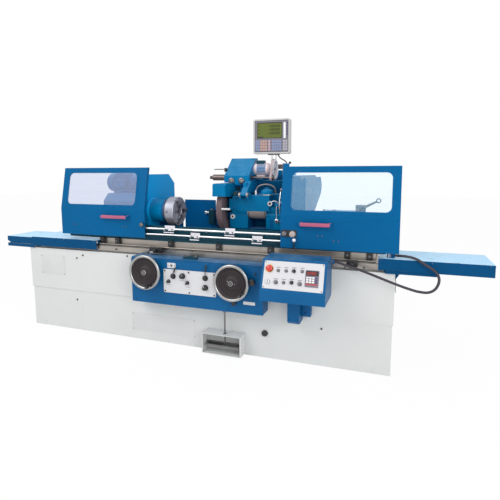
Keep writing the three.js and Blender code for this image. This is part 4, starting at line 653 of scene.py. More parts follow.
class GRINDER_OT_stage(bpy.types.Operator):
    """Camera, lamps, sky and pale floor"""

    bl_idname = "grinder.stage"
    bl_label = "Stage"

    def execute(self, context):
        self.camera(context)
        s = context.scene.grinder_stage
        self.lamp("key_lamp", s.key_power, 3.5, (-2.2, -3.4, 4.6), (0.2, 0.0, 0.7))
        self.lamp("fill_lamp", s.fill_power, 3.0, (4.2, -4.0, 2.4), (0.4, 0.0, 0.7))
        self.sky(context, s.sky)
        self.floor(s.floor_size)
        context.scene.view_settings.view_transform = "Standard"
        return {"FINISHED"}

    def camera(self, context):
        yaw, pitch, roll = (math.radians(angle) for angle in CAMERA_ANGLES)
        ahead = Vector((-math.sin(yaw) * math.cos(pitch), math.cos(yaw) * math.cos(pitch), -math.sin(pitch)))
        right = Vector((math.cos(yaw), math.sin(yaw), 0.0))
        up = right.cross(ahead)
        tilted_right = math.cos(roll) * right + math.sin(roll) * up
        tilted_up = -math.sin(roll) * right + math.cos(roll) * up
        data = bpy.data.cameras.new("camera")
        data.lens = CAMERA_LENS
        data.sensor_width = 36.0
        data.shift_y = -0.06
        made = bpy.data.objects.new("camera", data)
        made.matrix_world = Matrix.Translation(CAMERA_AT) @ Matrix((tilted_right, tilted_up,
                                                                    -ahead)).transposed().to_4x4()
        context.scene.collection.objects.link(made)
        context.scene.camera = made

    def lamp(self, name, power, size, at, to):
        data = bpy.data.lights.new(name, "AREA")
        data.energy = power
        data.size = size
        made = bpy.data.objects.new(name, data)
        made.location = at
        made.rotation_euler = (Vector(to) - Vector(at)).to_track_quat("-Z", "Y").to_euler()
        bpy.context.scene.collection.objects.link(made)

    def sky(self, context, strength):
        world = bpy.data.worlds.new("soft_sky")
        context.scene.world = world
        world.use_nodes = True
        g = Graph(world.node_tree)
        back = world.node_tree.nodes["Background"]
        path = g.add("ShaderNodeLightPath")
        seen = g.maths("MAXIMUM", path.outputs["Is Camera Ray"],
                       g.maths("MAXIMUM", path.outputs["Is Glossy Ray"], path.outputs["Is Transmission Ray"]))
        back.inputs["Color"].default_value = (1.0, 1.0, 1.0, 1.0)
        g.feed(back, "Strength", g.spread(seen, 0.0, 1.0, strength, 1.0))

    def floor(self, side):
        part = bmesh.new()
        bmesh.ops.create_grid(part, x_segments=1, y_segments=1, size=side / 2)
        mesh = bpy.data.meshes.new("floor")
        part.to_mesh(mesh)
        part.free()
        material, g, surface = new_finish("pale_floor")
        surface.inputs["Base Color"].default_value = (0.9, 0.9, 0.9, 1.0)
        g.feed(surface, "Roughness", g.spread(g.noise(g.place(), 3.0), 0.3, 0.7, 0.75, 0.9))
        glow = g.add("ShaderNodeEmission", {"Color": (1.0, 1.0, 1.0, 1.0), "Strength": 1.0})
        path = g.add("ShaderNodeLightPath")
        seen = g.maths("MAXIMUM", path.outputs["Is Camera Ray"], path.outputs["Is Glossy Ray"])
        both = g.add("ShaderNodeMixShader", {0: g.maths("MULTIPLY", seen, 0.95)})
        g.tree.links.new(surface.outputs[0], both.inputs[1])
        g.tree.links.new(glow.outputs[0], both.inputs[2])
        g.tree.links.new(both.outputs[0], g.tree.nodes["Material Output"].inputs["Surface"])
        mesh.materials.append(material)
        made = bpy.data.objects.new("floor", mesh)
        bpy.context.scene.collection.objects.link(made)


class GRINDER_OT_conduit(bpy.types.Operator):
    """Flexible conduit from the control box to the right way guard"""

    bl_idname = "grinder.conduit"
    bl_label = "Conduit"

    def execute(self, context):
        p = Piece("conduit_sleeve")
        p.tube(CONDUIT_ROUTE, 0.008, "conduit_sleeve", 20, 8)
        made = p.done("bed", "conduit_sleeve", "conduit")
        ends = Piece("conduit_fittings")
        ends.turned("x", [(1.1, 0), (1.1, 0.017), (1.108, 0.017), (1.108, 0.0135), (1.1196, 0.0125),
                          (1.1196, 0)], -0.302, 0.75, "dull_steel", 24)
        ends.done("bed", "conduit_sleeve")
        return {"FINISHED"}


class GRINDER_OT_castings(bpy.types.Operator):
    """Paint, machining and rounded edges of the pieces that keep their own shape"""

    bl_idname = "grinder.castings"
    bl_label = "Castings and tables"

    def execute(self, context):
        s = context.scene.grinder_sizes
        cast, sheet, fine = s.casting_edge, s.sheet_edge, s.machined_edge
        looks = {
            "bed_paint": [("base_casting", cast), ("pedal_box", sheet)],
            "apron_paint": [("apron_housing", cast), ("control_column", cast), ("control_box", cast)],
            "navy_paint": [("splash_panel", sheet)],
            "guard_paint": [("table_guard_left", sheet), ("table_guard_right", sheet),
                            ("bed_tray_left", sheet), ("bed_tray_right", sheet)],
            "workhead_paint": [("headstock_panel", sheet)],
            "head_paint": [("headstock_body", cast), ("wheelhead_saddle", cast), ("wheelhead_body", cast),
                           ("wheel_guard", sheet), ("internal_bracket", cast)],
            "panel_paint": [("knob_plate", fine)],
            "blue_paint": [
                ("left_door", sheet), ("right_door", sheet), ("tailstock_body", cast), ("belt_guard", sheet),
            ],
            "teal_paint": [("front_gutter", sheet), ("reversing_lever", fine)],
            "ground_steel": [("lower_table", fine), ("upper_table", fine)],
            "dull_steel": [("pedal_rod", fine), ("console_arm", fine), ("foot_pedal", fine)],
            "turned_steel": [("chuck_jaw_1", fine), ("chuck_jaw_2", fine), ("chuck_jaw_3", fine)],
            "black_steel": [("trip_dog_left", fine), ("trip_dog_right", fine)],
            "belt_rubber": [("drive_belt", fine)],
            "woven_belt": [("internal_belt", fine)],
            "clear_sheet": [("right_window", fine)],
            "hazy_sheet": [("left_window", fine)],
        }
        for look, pieces in looks.items():
            for node, edge in pieces:
                dress(node, look, edge)
        return {"FINISHED"}


def handwheel(name, node, body, x, z, grip_angle, dots):
    """Dished wheel with a bright rim, a dark dish, a hub and a turned grip."""
    p = Piece(name)
    rim = []
    for i in range(25):
        a = 2 * math.pi * i / 24
        rim.append((-0.3985 + 0.0108 * math.cos(a), 0.1188 + 0.0108 * math.sin(a)))
    p.turned("y", rim, x, z, "wheel_rim", 96)
    dish = [(-0.3905, 0.1), (-0.39, 0.112), (-0.3965, 0.1115), (-0.3985, 0.1065), (-0.395, 0.1015)]
    for radius in (0.09, 0.072, 0.056):
        dish += [(-0.3925, radius + 0.005), (-0.3955, radius + 0.003), (-0.3955, radius),
                 (-0.3925, radius - 0.002)]
    dish += [(-0.396, 0.042), (-0.4, 0.038), (-0.402, 0.026)]
    p.turned("y", dish + [(-0.386, 0.026), (-0.385, 0.1), (-0.3905, 0.1)], x, z, "dish_paint", 96)
    hub = [(-0.4107, 0), (-0.4107, 0.016), (-0.409, 0.019), (-0.401, 0.027), (-0.386, 0.03), (-0.386, 0.034),
           (-0.37, 0.034)]
    p.turned("y", hub + [(-0.37, 0.031), (-0.351, 0.03), (-0.351, 0)], x, z, "dish_paint", 64)
    p.turned("y", [(-0.4125, 0), (-0.4125, 0.009), (-0.41, 0.011), (-0.41, 0)], x, z, "dull_steel", 32)
    p.turned("y", [(-0.41, 0.013), (-0.4116, 0.014), (-0.4116, 0.0175), (-0.4092, 0.019), (-0.41, 0.013)], x,
             z, "wheel_rim", 40)
    for i in range(40):
        a = 2 * math.pi * i / 40
        matrix = spun((x, 0, z), a, "Y")
        p.block((0.0338, -0.3845, -0.0004), (0.0345, -0.376 if i % 5 else -0.3715, 0.0004), "white_plastic",
                0, matrix)
    for dx, dz in dots:
        p.screw((x + dx, -0.4, z + dz), TO_FRONT, 0.0055, "wheel_rim")
    gx = x + 0.104 * math.cos(math.radians(grip_angle))
    gz = z + 0.104 * math.sin(math.radians(grip_angle))
    grip = [(-0.47, 0), (-0.4695, 0.006), (-0.467, 0.0092), (-0.46, 0.012), (-0.445, 0.013), (-0.425, 0.0105),
            (-0.412, 0.0082), (-0.408, 0.0098), (-0.399, 0.0098), (-0.399, 0)]
    p.turned("y", grip, gx, gz, "black_plastic", 32)
    p.turned("y", [(-0.4722, 0), (-0.4722, 0.0035), (-0.469, 0.0045), (-0.469, 0)], gx, gz, "dull_steel", 16)
    p.done(body, "ground_steel", node)


class GRINDER_OT_apron_controls(bpy.types.Operator):
    """Handwheels, levers and knobs of the apron, with its screws and plates"""

    bl_idname = "grinder.apron_controls"
    bl_label = "Apron controls"

    def execute(self, context):
        handwheel("table_wheel_dressed", "table_handwheel", "wheel_table", -0.234, 0.597, -62, [])
        handwheel("infeed_wheel_dressed", "infeed_handwheel", "wheel_infeed", 0.445, 0.575, -38,
                  [(-0.022, 0.012), (0.022, -0.004)])
        self.lever("table_lever_dressed", "table_lever", "lever_table", -0.02, 0.577, 70, 0.062)
        self.lever("speed_lever_dressed", "speed_lever", "lever_speed", 0.235, 0.583, 82, 0.086)
        self.knob("dwell_knob_dressed", "dwell_knob", "knob_dwell", 0.056, 0.583, 30)
        self.knob("flow_knob_dressed", "flow_knob", "knob_flow", 0.235, 0.514, -20)
        self.plate_details()
        self.apron_details()
        self.reverser()
        return {"FINISHED"}

    def lever(self, name, node, body, x, z, angle, reach):
        p = Piece(name)
        hub = [(-0.3806, 0), (-0.3806, 0.0085), (-0.379, 0.0115), (-0.37, 0.013), (-0.359, 0.013), (-0.359, 0)]
        p.turned("y", hub, x, z, "black_plastic", 36)
        p.turned("y", [(-0.364, 0), (-0.364, 0.02), (-0.36, 0.0212), (KNOB_BASE, 0.0212), (KNOB_BASE, 0)], x,
                 z, "black_steel", 40)
        a = math.radians(angle)
        tip = Vector((x + reach * math.cos(a), -0.3697, z + reach * math.sin(a)))
        foot = Vector((x, -0.3697, z))
        p.tube([foot, foot.lerp(tip, 0.5), tip], 0.0032, "dull_steel", 14, 1)
        p.tube([foot.lerp(tip, 0.55), tip, foot.lerp(tip, 1.08)], 0.0055, "black_plastic", 16, 1)
        p.ball(foot.lerp(tip, 1.06), 0.0072, "black_plastic")
        p.done(body, "ground_steel", node)

    def knob(self, name, node, body, x, z, turn):
        p = Piece(name)
        skirt = [(-0.3646, 0), (-0.3646, 0.0195), (-0.361, 0.0215), (KNOB_BASE, 0.022), (KNOB_BASE, 0)]
        p.turned("y", skirt, x, z, "black_steel", 48)
        top = [(-0.3827, 0), (-0.3827, 0.014), (-0.381, 0.0163), (-0.377, 0.017), (-0.3646, 0.0172),
               (-0.3646, 0)]
        p.turned("y", top, x, z, "black_plastic", 20)
        at = spun((x, 0, z), math.radians(turn), "Y")
        p.block((-0.0008, -0.3833, 0.003), (0.0008, -0.3815, 0.0155), "white_plastic", 0.0002, at)
        p.done(body, "black_plastic", node)

    def plate_details(self):
        p = Piece("knob_plate_fittings")
        for x, z in ((-0.058, 0.536), (0.095, 0.537)):
            p.turned("y", [(-0.376, 0), (-0.376, 0.0085), (-0.374, 0.011), (-0.364, 0.0125),
                           (PLATE_FACE, 0.015), (PLATE_FACE, 0)], x, z, "black_plastic", 28)
            p.block((x - 0.0025, -0.3815, z - 0.013), (x + 0.0025, -0.375, z + 0.013), "black_plastic", 0.001,
                    spun((x, 0, z), math.radians(40), "Y") @ Matrix.Translation((-x, 0, -z)))
        for x, z in ((0.105, 0.613), (0.108, 0.464), (-0.088, 0.613), (-0.088, 0.464), (0.303, 0.613),
                     (0.303, 0.464)):
            p.screw((x, PLATE_FACE, z), TO_FRONT, 0.0055, "black_steel")
        r = 0.031
        for x, z in ((0.056, 0.583), (0.235, 0.514)):
            for i in range(11):
                a = math.radians(-135 + 27 * i)
                at = spun((x, 0, z), a, "Y")
                p.block((-0.0006, KNOB_BASE, r - 0.0035), (0.0006, PLATE_FACE, r + 0.0015), "black_steel", 0,
                        at)
        for x0, x1, z in ((-0.075, -0.04, 0.509), (0.078, 0.112, 0.505), (0.03, 0.082, 0.548)):
            p.block((x0, -0.3586, z), (x1, PLATE_FACE, z + 0.0022), "dull_steel", 0)
        p.done("bed", "cast_white")

    def apron_details(self):
        p = Piece("apron_fittings")
        p.prism("y", rounded_outline(-0.071, -0.003, 0.633, 0.672, 0.005), -0.352, -0.3502, "panel_paint",
                0.0006)
        p.turned("y", [(-0.356, 0), (-0.356, 0.007), (-0.3545, 0.0085), (-0.352, 0.009), (-0.352, 0)], -0.037,
                 0.652, "dull_steel", 24)
        for x, z in ((-0.063, 0.652), (-0.011, 0.652)):
            p.screw((x, -0.352, z), TO_FRONT, 0.003)
        p.screw((0.604, -0.35, 0.64), TO_FRONT, 0.007, "black_steel")
        p.turned("y", [(-0.39, 0), (-0.39, 0.019), (-0.387, 0.0225), (-0.372, 0.0225), (-0.369, 0.014),
                       (APRON_FACE, 0.014), (APRON_FACE, 0)], 0.587, 0.587, "black_plastic", 40)
        p.turned("y", [(-0.38, 0), (-0.38, 0.013), (-0.378, 0.015), (-0.364, 0.015), (-0.362, 0.01),
                       (APRON_FACE, 0.01), (APRON_FACE, 0)], 0.453, 0.426, "black_plastic", 32)
        p.prism("y", rounded_outline(0.515, 0.6, 0.42, 0.442, 0.003), -0.3512, -0.3502, "panel_paint", 0.0004)
        p.block((-0.372, -0.3508, 0.69), (0.648, -0.232, 0.6984), "apron_paint", 0.001)
        p.screws((-0.35, -0.2, 0.0, 0.2, 0.4, 0.62), -0.35, 0.374, TO_FRONT, 0.0055, "apron_paint")
        p.done("bed", "blue_paint")

    def reverser(self):
        p = Piece("reversing_lever_fittings")
        p.turned("z", [(0.6985, 0), (0.6985, 0.0165), (0.717, 0.0165), (0.7195, 0.014), (0.7195, 0)], 0.086,
                 -0.2885, "teal_paint", 32)
        p.screw((0.086, -0.2885, 0.7195), UPWARD, 0.007)
        for x in (0.039, 0.133):
            p.turned("z", [(0.71, 0), (0.71, 0.0075), (0.724, 0.0075), (0.7255, 0.006), (0.7255, 0)], x,
                     -0.2885, "dull_steel", 24)
        p.done("lever_reverse", "teal_paint")


# Places on the control panel, as (x, z)
STOP_BUTTON = (0.74, 0.719)
PUSH_BUTTONS = ((0.79, 0.642), (0.941, 0.643))
SELECTORS = ((0.898, 0.713), (0.89, 0.647))
SMALL_BUTTONS = ((0.798, 0.71), (0.849, 0.711), (0.95, 0.715), (0.84, 0.643))


def panel_place(x, z):
    """Matrix at a place on the control panel's sloping face, given by its height."""
    y = -0.452 - (0.777 - z) * 0.078 / 0.187
    return facing(Vector((x, y, z)), SLOPE_OUT, SLOPE_UP)


class GRINDER_OT_control_panel(bpy.types.Operator):
    """White panel of the control box with its buttons, selectors and key field"""

    bl_idname = "grinder.control_panel"
    bl_label = "Control panel"

    def execute(self, context):
        self.plate()
        self.stop_button()
        for part, place in zip(("upper", "lower"), SELECTORS):
            self.selector("selector_%s_dressed" % part, "selector_" + part, "switch_" + part, *place)
        for part, place in zip(("start", "pump"), PUSH_BUTTONS):
            self.button(part + "_button_dressed", part + "_button", "button_" + part, *place)
        return {"FINISHED"}

    def plate(self):
        p = Piece("panel_plate")
        at = panel_place(0.895, 0.6835)
        p.prism("z", rounded_outline(-0.19, 0.19, -0.088, 0.088, 0.006), 0.0003, 0.0022, "panel_paint",
                0.0005, at)
        for sx in (-1, 1):
            for sz in (-1, 1):
                spot = at @ Vector((sx * 0.182, sz * 0.08, 0.0022))
                p.screw(spot, SLOPE_OUT, 0.0035)
        for x, z in SMALL_BUTTONS:
            self.small_button(p, x, z)
        for x, z in PUSH_BUTTONS:
            p.turned("z", [(0.002, 0.01), (0.002, 0.014), (0.005, 0.0135), (0.005, 0.0104), (0.002, 0.01)], 0,
                     0, "dull_steel", 32, panel_place(x, z))
        for x, z in PUSH_BUTTONS + SMALL_BUTTONS + SELECTORS:
            p.block((-0.013, 0.0185, 0.0022), (0.013, 0.0225, 0.0026), "bezel_plastic", 0, panel_place(x, z))
        p.turned("z", [(0.002, 0.018), (0.002, 0.026), (0.0028, 0.0255), (0.0028, 0.0182), (0.002, 0.018)], 0,
                 0, "brass", 40, panel_place(*STOP_BUTTON))
        key = panel_place(0.737, 0.641)
        p.turned("z", [(0.002, 0), (0.002, 0.0165), (0.0075, 0.0155), (0.011, 0.0125), (0.011, 0)], 0, 0,
                 "aluminium", 40, key)
        p.block((-0.002, -0.008, 0.0108), (0.002, 0.008, 0.0114), "black_steel", 0, key)
        self.key_field(p)
        p.done("bed", "cast_white")

    def small_button(self, p, x, z):
        at = panel_place(x, z)
        p.turned("z", [(0.002, 0), (0.002, 0.0115), (0.0045, 0.011), (0.0045, 0.0085), (0.0095, 0.008),
                       (0.0105, 0.007), (0.0105, 0)], 0, 0, "dull_steel", 32, at)
        p.turned("z", [(0.0105, 0), (0.0105, 0.0062), (0.0115, 0.0055), (0.0115, 0)], 0, 0, "bezel_plastic",
                 24, at)

    def key_field(self, p):
        at = panel_place(1.0135, 0.677)
        p.prism("z", rounded_outline(-0.042, 0.042, -0.052, 0.052, 0.004), 0.002, 0.004, "bezel_plastic",
                0.0006, at)
        p.prism("z", rounded_outline(-0.038, 0.038, 0.018, 0.048, 0.004), 0.0036, 0.005, "black_plastic",
                0.0005, at)
        for i in range(4):
            self.digit(p, at, -0.025 + i * 0.0145, 0.033, 0.0051)
        for row in range(4):
            for column in range(4):
                x = -0.0275 + column * 0.018
                y = 0.006 - row * 0.0135
                look = "white_plastic" if row < 3 and column < 3 else ("red_key" if row == 3 else "violet_key")
                p.block((x - 0.007, y - 0.0048, 0.0038), (x + 0.007, y + 0.0048, 0.0062), look, 0.001, at)

    def digit(self, p, at, x, y, proud):
        """A seven-part zero."""
        w, h, t = 0.0036, 0.0075, 0.0011
        for dx, dy, a, b in ((0, h, w, t), (0, -h, w, t), (-w, h / 2, t, h / 2), (w, h / 2, t, h / 2),
                             (-w, -h / 2, t, h / 2), (w, -h / 2, t, h / 2)):
            p.block((x + dx - a, y + dy - b, proud - 0.0003), (x + dx + a, y + dy + b, proud + 0.0002),
                    "red_digits", 0, at)

    def stop_button(self):
        p = Piece("emergency_stop_dressed")
        at = panel_place(*STOP_BUTTON)
        head = [(0.0086, 0), (0.0086, 0.015), (0.0102, 0.0195), (0.0124, 0.021), (0.0152, 0.0205),
                (0.0178, 0.017),
                (0.019, 0.01), (0.0192, 0)]
        p.turned("z", head, 0, 0, "stop_plastic", 56, at)
        p.turned("z", [(-0.016, 0), (-0.016, 0.0078), (0.008, 0.0078), (0.008, 0)], 0, 0, "black_plastic", 24,
                 at)
        p.done("stop", "red_plastic", "emergency_stop")

    def selector(self, name, node, body, x, z):
        p = Piece(name)
        at = panel_place(x, z)
        p.turned("z", [(-0.013, 0), (-0.013, 0.0048), (0.001, 0.0048), (0.001, 0.0128), (0.007, 0.0122),
                       (0.008, 0.0105), (0.008, 0)], 0, 0, "black_plastic", 40, at)
        p.prism("y", [(-0.0034, 0.007), (0.0034, 0.007), (0.0024, 0.0198), (-0.0024, 0.0198)], -0.0115,
                0.0115, "black_plastic", 0.0008, at)
        p.block((-0.0006, 0.004, 0.0196), (0.0006, 0.011, 0.02), "white_plastic", 0, at)
        p.done(body, "black_plastic", node)

    def button(self, name, node, body, x, z):
        p = Piece(name)
        at = panel_place(x, z)
        p.turned("z", [(-0.015, 0), (-0.015, 0.0058), (0.0056, 0.0058), (0.0056, 0.0092), (0.016, 0.0096),
                       (0.0171, 0.0086), (0.0171, 0)], 0, 0, "dull_steel", 36, at)
        p.turned("z", [(0.017, 0), (0.017, 0.0072), (0.0173, 0.0064), (0.0173, 0)], 0, 0, "bezel_plastic", 32,
                 at)
        p.done(body, "black_plastic", node)


class GRINDER_OT_bed_fittings(bpy.types.Operator):
    """Plugs, screws, bare plates and brackets of the bed and its foot control"""

    bl_idname = "grinder.bed_fittings"
    bl_label = "Bed fittings"

    def execute(self, context):
        p = Piece("bed_fittings")
        front, low = -0.23, -0.224
        p.prism("y", rounded_outline(-1.377, -1.12, 0.462, 0.626, 0.004), front - 0.0012, front - 0.0002,
                "bare_plate", 0.0004)
        p.screws((-1.367, -1.13), front - 0.0012, (0.472, 0.616), TO_FRONT, 0.003)
        p.prism("y", rounded_outline(-0.48, 0.083, 0.07, 0.215, 0.004), low - 0.0012, low - 0.0002,
                "bare_plate", 0.0004)
        p.screws((-0.47, 0.073), low - 0.0012, (0.08, 0.205), TO_FRONT, 0.003)
        for x, z in ((-0.931, 0.646), (-0.994, 0.619), (-0.5, 0.668)):
            p.screw((x, front, z), TO_FRONT, 0.0065, "black_steel")
        p.screw((-1.017, low, 0.261), TO_FRONT, 0.0065, "black_steel")
        p.screw((1.033, low, 0.265), TO_FRONT, 0.0065, "black_steel")
        p.turned("y", [(low - 0.019, 0), (low - 0.019, 0.013), (low - 0.016, 0.02), (low - 0.005, 0.0225),
                       (low - 0.0002, 0.0225), (low - 0.0002, 0)], 0.632, 0.182, "black_plastic", 40)
        p.turned("y", [(low - 0.003, 0), (low - 0.003, 0.01), (low - 0.0002, 0.011), (low - 0.0002, 0)], 0.42,
                 0.262, "aluminium", 32)
        p.prism("y", rounded_outline(-1.055, -0.96, 0.13, 0.225, 0.006), low - 0.0008, low - 0.0002,
                "bed_paint", 0.0003)
        for side in (-1, 1):
            p.block((side * 1.4903 - 0.001, -0.19, 0.632), (side * 1.4903 + 0.001, 0.19, 0.68), "bed_paint",
                    0.0004)
        chain = [(1.494, -0.2, 0.64), (1.496, -0.201, 0.61), (1.494, -0.2, 0.58), (1.497, -0.2, 0.556)]
        p.tube(chain, 0.0022, "dull_steel", 10, 6)
        for x in (-1.4, 0.05, 1.4):
            p.block((x - 0.03, -0.226, 0.0), (x + 0.03, -0.22, 0.05), "bed_paint", 0.002)
        p.done("bed", "cast_white")
        self.foot_control()
        self.bracket_arm()
        return {"FINISHED"}

    def foot_control(self):
        p = Piece("foot_control_fittings")
        for x in (0.188, 0.481):
            p.block((x - 0.0035, -0.3305, 0.0185), (x + 0.0035, -0.329, 0.1655), "bed_paint", 0.0008)
        p.screws((0.215, 0.29, 0.454), -0.229, 0.135, TO_FRONT, 0.007)
        p.turned("z", [(0.1662, 0.0064), (0.1662, 0.013), (0.17, 0.012), (0.17, 0.0064), (0.1662, 0.0064)],
                 0.351, -0.29, "dull_steel", 28)
        p.done("bed", "blue_paint")
        tread = Piece("pedal_tread")
        for i in range(7):
            y = -0.312 + i * 0.007
            tread.block((0.215, y, 0.0838), (0.336, y + 0.003, 0.0853), "belt_rubber", 0.0005)
        tread.done("pedal", "black_steel")

    def bracket_arm(self):
        p = Piece("box_bracket_fittings")
        p.screws(0.937, -0.28, (0.38, 0.495), TO_FRONT, 0.007, "apron_paint")
        p.block((0.9053, -0.28, 0.356), (0.968, -0.232, 0.519), "apron_paint", 0.004)
        p.screws((0.835, 0.895), -0.35, 0.35, TO_FRONT, 0.006, "apron_paint")
        p.done("bed", "blue_paint")


class GRINDER_OT_table_fittings(bpy.types.Operator):
    """Clamps, screws and scale on the tables, and the fittings of the way guards"""

    bl_idname = "grinder.table_fittings"
    bl_label = "Table fittings"

    def execute(self, context):
        p = Piece("table_clamps")
        for x in (-0.756, -0.611, -0.13, 0.267, 0.662, 1.19, 1.33):
            p.block((x - 0.02, -0.2035, 0.7585), (x + 0.02, -0.18, 0.804), "black_steel", 0.003)
            p.screw((x, -0.2035, 0.779), TO_FRONT, 0.0085, "dull_steel")
        p.done("swivel_table", "black_steel")
        q = Piece("lower_table_fittings")
        q.screw((-0.602, -0.23, 0.716), TO_FRONT, 0.006, "black_steel")
        q.screw((1.3, -0.23, 0.7085), TO_FRONT, 0.006, "black_steel")
        q.prism("y", [(-0.76, 0.7445), (1.372, 0.7445), (1.372, 0.752), (-0.76, 0.752)], -0.2302, -0.23,
                "black_steel", 0)
        q.done("table", "ground_steel")
        self.dog("dog_left_fittings", "dog_left", -0.277, 0.109)
        self.dog("dog_right_fittings", "dog_right", 1.192, 0.069)
        self.guards()
        return {"FINISHED"}

    def dog(self, name, body, start, run):
        p = Piece(name)
        mid = start + run / 2
        p.turned("y", [(-0.286, 0), (-0.286, 0.0085), (-0.284, 0.0115), (-0.269, 0.0115), (-0.2625, 0.0075),
                       (-0.262, 0)], mid, 0.733, "black_steel", 28)
        p.block((start + 0.006, -0.265, 0.715), (start + 0.026, -0.24, 0.721), "black_steel", 0.001)
        p.block((start + 0.004, -0.2655, 0.7163), (start + 0.046, -0.262, 0.726), "bright_rim", 0.001)
        p.tube([(start + 0.012, -0.264, 0.73), (start - 0.004, -0.267, 0.722), (start - 0.01, -0.269, 0.706)],
               0.0042, "black_steel", 12, 4)
        p.done(body, "black_steel")

    def guards(self):
        p = Piece("guard_fittings")
        p.screws((-1.1, -0.8, 1.41, 1.7, 2.01), -0.25, 0.768, TO_FRONT, 0.005, "guard_paint")
        p.block((-0.789, -0.2512, 0.7075), (-0.7755, -0.25, 0.7795), "guard_paint", 0.0004)
        p.block((1.3865, -0.2512, 0.7075), (1.4, -0.25, 0.7795), "guard_paint", 0.0004)
        p.prism("y", rounded_outline(1.441, 1.483, 0.782, 0.846, 0.003), -0.201, -0.197, "panel_paint", 0.0008)
        for x in (1.452, 1.472):
            p.turned("y", [(-0.203, 0), (-0.203, 0.0045), (-0.2005, 0.005), (-0.2005, 0)], x, 0.832,
                     "black_steel", 20)
        p.done("table", "blue_paint")


class GRINDER_OT_doors(bpy.types.Operator):
    """Handles, window strips, screws and rollers of the sliding doors"""

    bl_idname = "grinder.doors"
    bl_label = "Sliding doors"

    def execute(self, context):
        self.door("left_door_fittings", "door_left", -1.062, -0.412, -0.711, -0.462)
        self.door("right_door_fittings", "door_right", 0.812, 1.457, 0.877, 1.091)
        self.rollers()
        return {"FINISHED"}

    def door(self, name, body, left, right, grip_left, grip_right):
        p = Piece(name)
        lean = math.radians(DOOR_LEAN)
        out = Vector((0, -math.cos(lean), math.sin(lean)))
        up = Vector((0, math.sin(lean), math.cos(lean)))
        middle = (WINDOW_LOW + WINDOW_HIGH) / 2
        at = facing((0, -0.239 + (middle - DOOR_BEND) * math.tan(lean), middle), out, up)
        half = (WINDOW_HIGH - WINDOW_LOW) / 2 / math.cos(lean)
        strip = bpy.context.scene.grinder_sizes.gasket
        self.frame(p, left - 0.002, right + 0.002, half + 0.002, strip, at)
        outline = rounded_outline(grip_left + 0.006, grip_right - 0.006, 0.9655, 0.9905, 0.0115)
        p.prism("y", outline, -0.276, -0.26, "pull_plastic", 0.0055, steps=3)
        for x in (grip_left + 0.014, grip_right - 0.014):
            p.turned("y", [(-0.262, 0), (-0.262, 0.0095), (-0.242, 0.011), (DOOR_FACE, 0.013),
                           (DOOR_FACE, 0)], x, 0.978, "pull_plastic", 28)
        self.screws(p, body)
        if body == "door_left":
            knob = [(-0.262, 0), (-0.262, 0.013), (-0.259, 0.016), (-0.248, 0.016), (-0.244, 0.011),
                    (DOOR_FACE, 0.011)]
            p.turned("y", knob + [(DOOR_FACE, 0)], -0.344, 0.925, "dull_steel", 36)
        p.done(body, "blue_paint")

    def frame(self, p, left, right, half, strip, at):
        """Painted strip with round inner corners that closes the window's square cut."""
        steps = 6
        outer = rounded_outline(left - strip, right + strip, -half - strip, half + strip, 0.02, steps)
        inner = rounded_outline(left + 0.004, right - 0.004, -half + 0.004, half - 0.004, 0.036, steps)
        part = bmesh.new()
        rings = []
        for points, height in ((outer, 0.0002), (outer, 0.0018), (inner, 0.0018), (inner, -0.0045)):
            rings.append([part.verts.new((x, y, height)) for x, y in points])
        rings.append(rings[0])
        count = len(outer)
        for low, high in zip(rings, rings[1:]):
            for i in range(count):
                k = (i + 1) % count
                part.faces.new((low[i], low[k], high[k], high[i]))
        p.take(part, "blue_paint", at)

    def screws(self, p, body):
        if body == "door_right":
            places = ((1.0, 0.903), (1.03, 0.903), (1.105, 0.872), (1.135, 0.872))
        else:
            places = ((-1.0, 0.903), (-0.97, 0.903), (-0.52, 0.903), (-0.49, 0.903))
        for x, z in places:
            p.screw((x, -0.239, z), TO_FRONT, 0.0045)

    def rollers(self):
        p = Piece("door_stop_fittings")
        for x, r in ((0.776, 0.015), (0.832, 0.019)):
            knob = [(-0.266, 0), (-0.266, r - 0.004), (-0.264, r), (-0.25, r), (-0.248, r + 0.002),
                    (DOOR_FACE, r + 0.002)]
            p.turned("y", knob + [(DOOR_FACE, 0)], x, 0.908, "sleeve_steel" if r > 0.016 else "dull_steel", 36)
        p.block((0.753, -0.244, 0.887), (0.858, DOOR_FACE, 0.933), "black_steel", 0.0015)
        p.ball((0.845, -0.257, 0.868), 0.0125, "white_plastic")
        p.tube([(0.845, -0.255, 0.86), (0.842, -0.256, 0.84), (0.845, -0.252, 0.82), (0.862, -0.248, 0.8)],
               0.0052, "black_plastic", 12, 6)
        p.done("door_right", "black_steel")


class GRINDER_OT_gutter_rails(bpy.types.Operator):
    """Bright rails of the gutter and the clamps that hold them"""

    bl_idname = "grinder.gutter_rails"
    bl_label = "Gutter rails"

    def execute(self, context):
        p = Piece("gutter_rails")
        for z in (0.897, 0.852):
            p.turned("x", [(-1.06, 0), (-1.06, 0.0062), (-1.059, 0.0074), (1.424, 0.0074), (1.425, 0.0062),
                           (1.425, 0)], -0.222, z, "bright_rim", 32)
        for x, z, half in ((-0.1225, 0.897, 0.043), (0.368, 0.897, 0.038), (0.09, 0.852, 0.038),
                           (0.573, 0.852, 0.038)):
            self.clamp(p, x, z, half)
        p.done("swivel_table", "ground_steel")
        return {"FINISHED"}

    def clamp(self, p, x, z, half):
        """Bright clamp round a rail, low enough for the doors' hooks to pass over it, its screws and strip."""
        p.block((x - half, -0.2312, z - 0.012), (x + half, -0.21, z + 0.0066), "pale_cast", 0.002)
        p.block((x - half, -0.2142, z - 0.01), (x + half, -0.209, z + 0.025), "pale_cast", 0.0015)
        p.block((x - half, -0.2325, z - 0.029), (x + half, -0.229, z - 0.021), "pale_cast", 0.001)
        for side in (-1, 1):
            p.screw((x + side * (half - 0.013), -0.23, z - 0.0025), TO_FRONT, 0.0055)


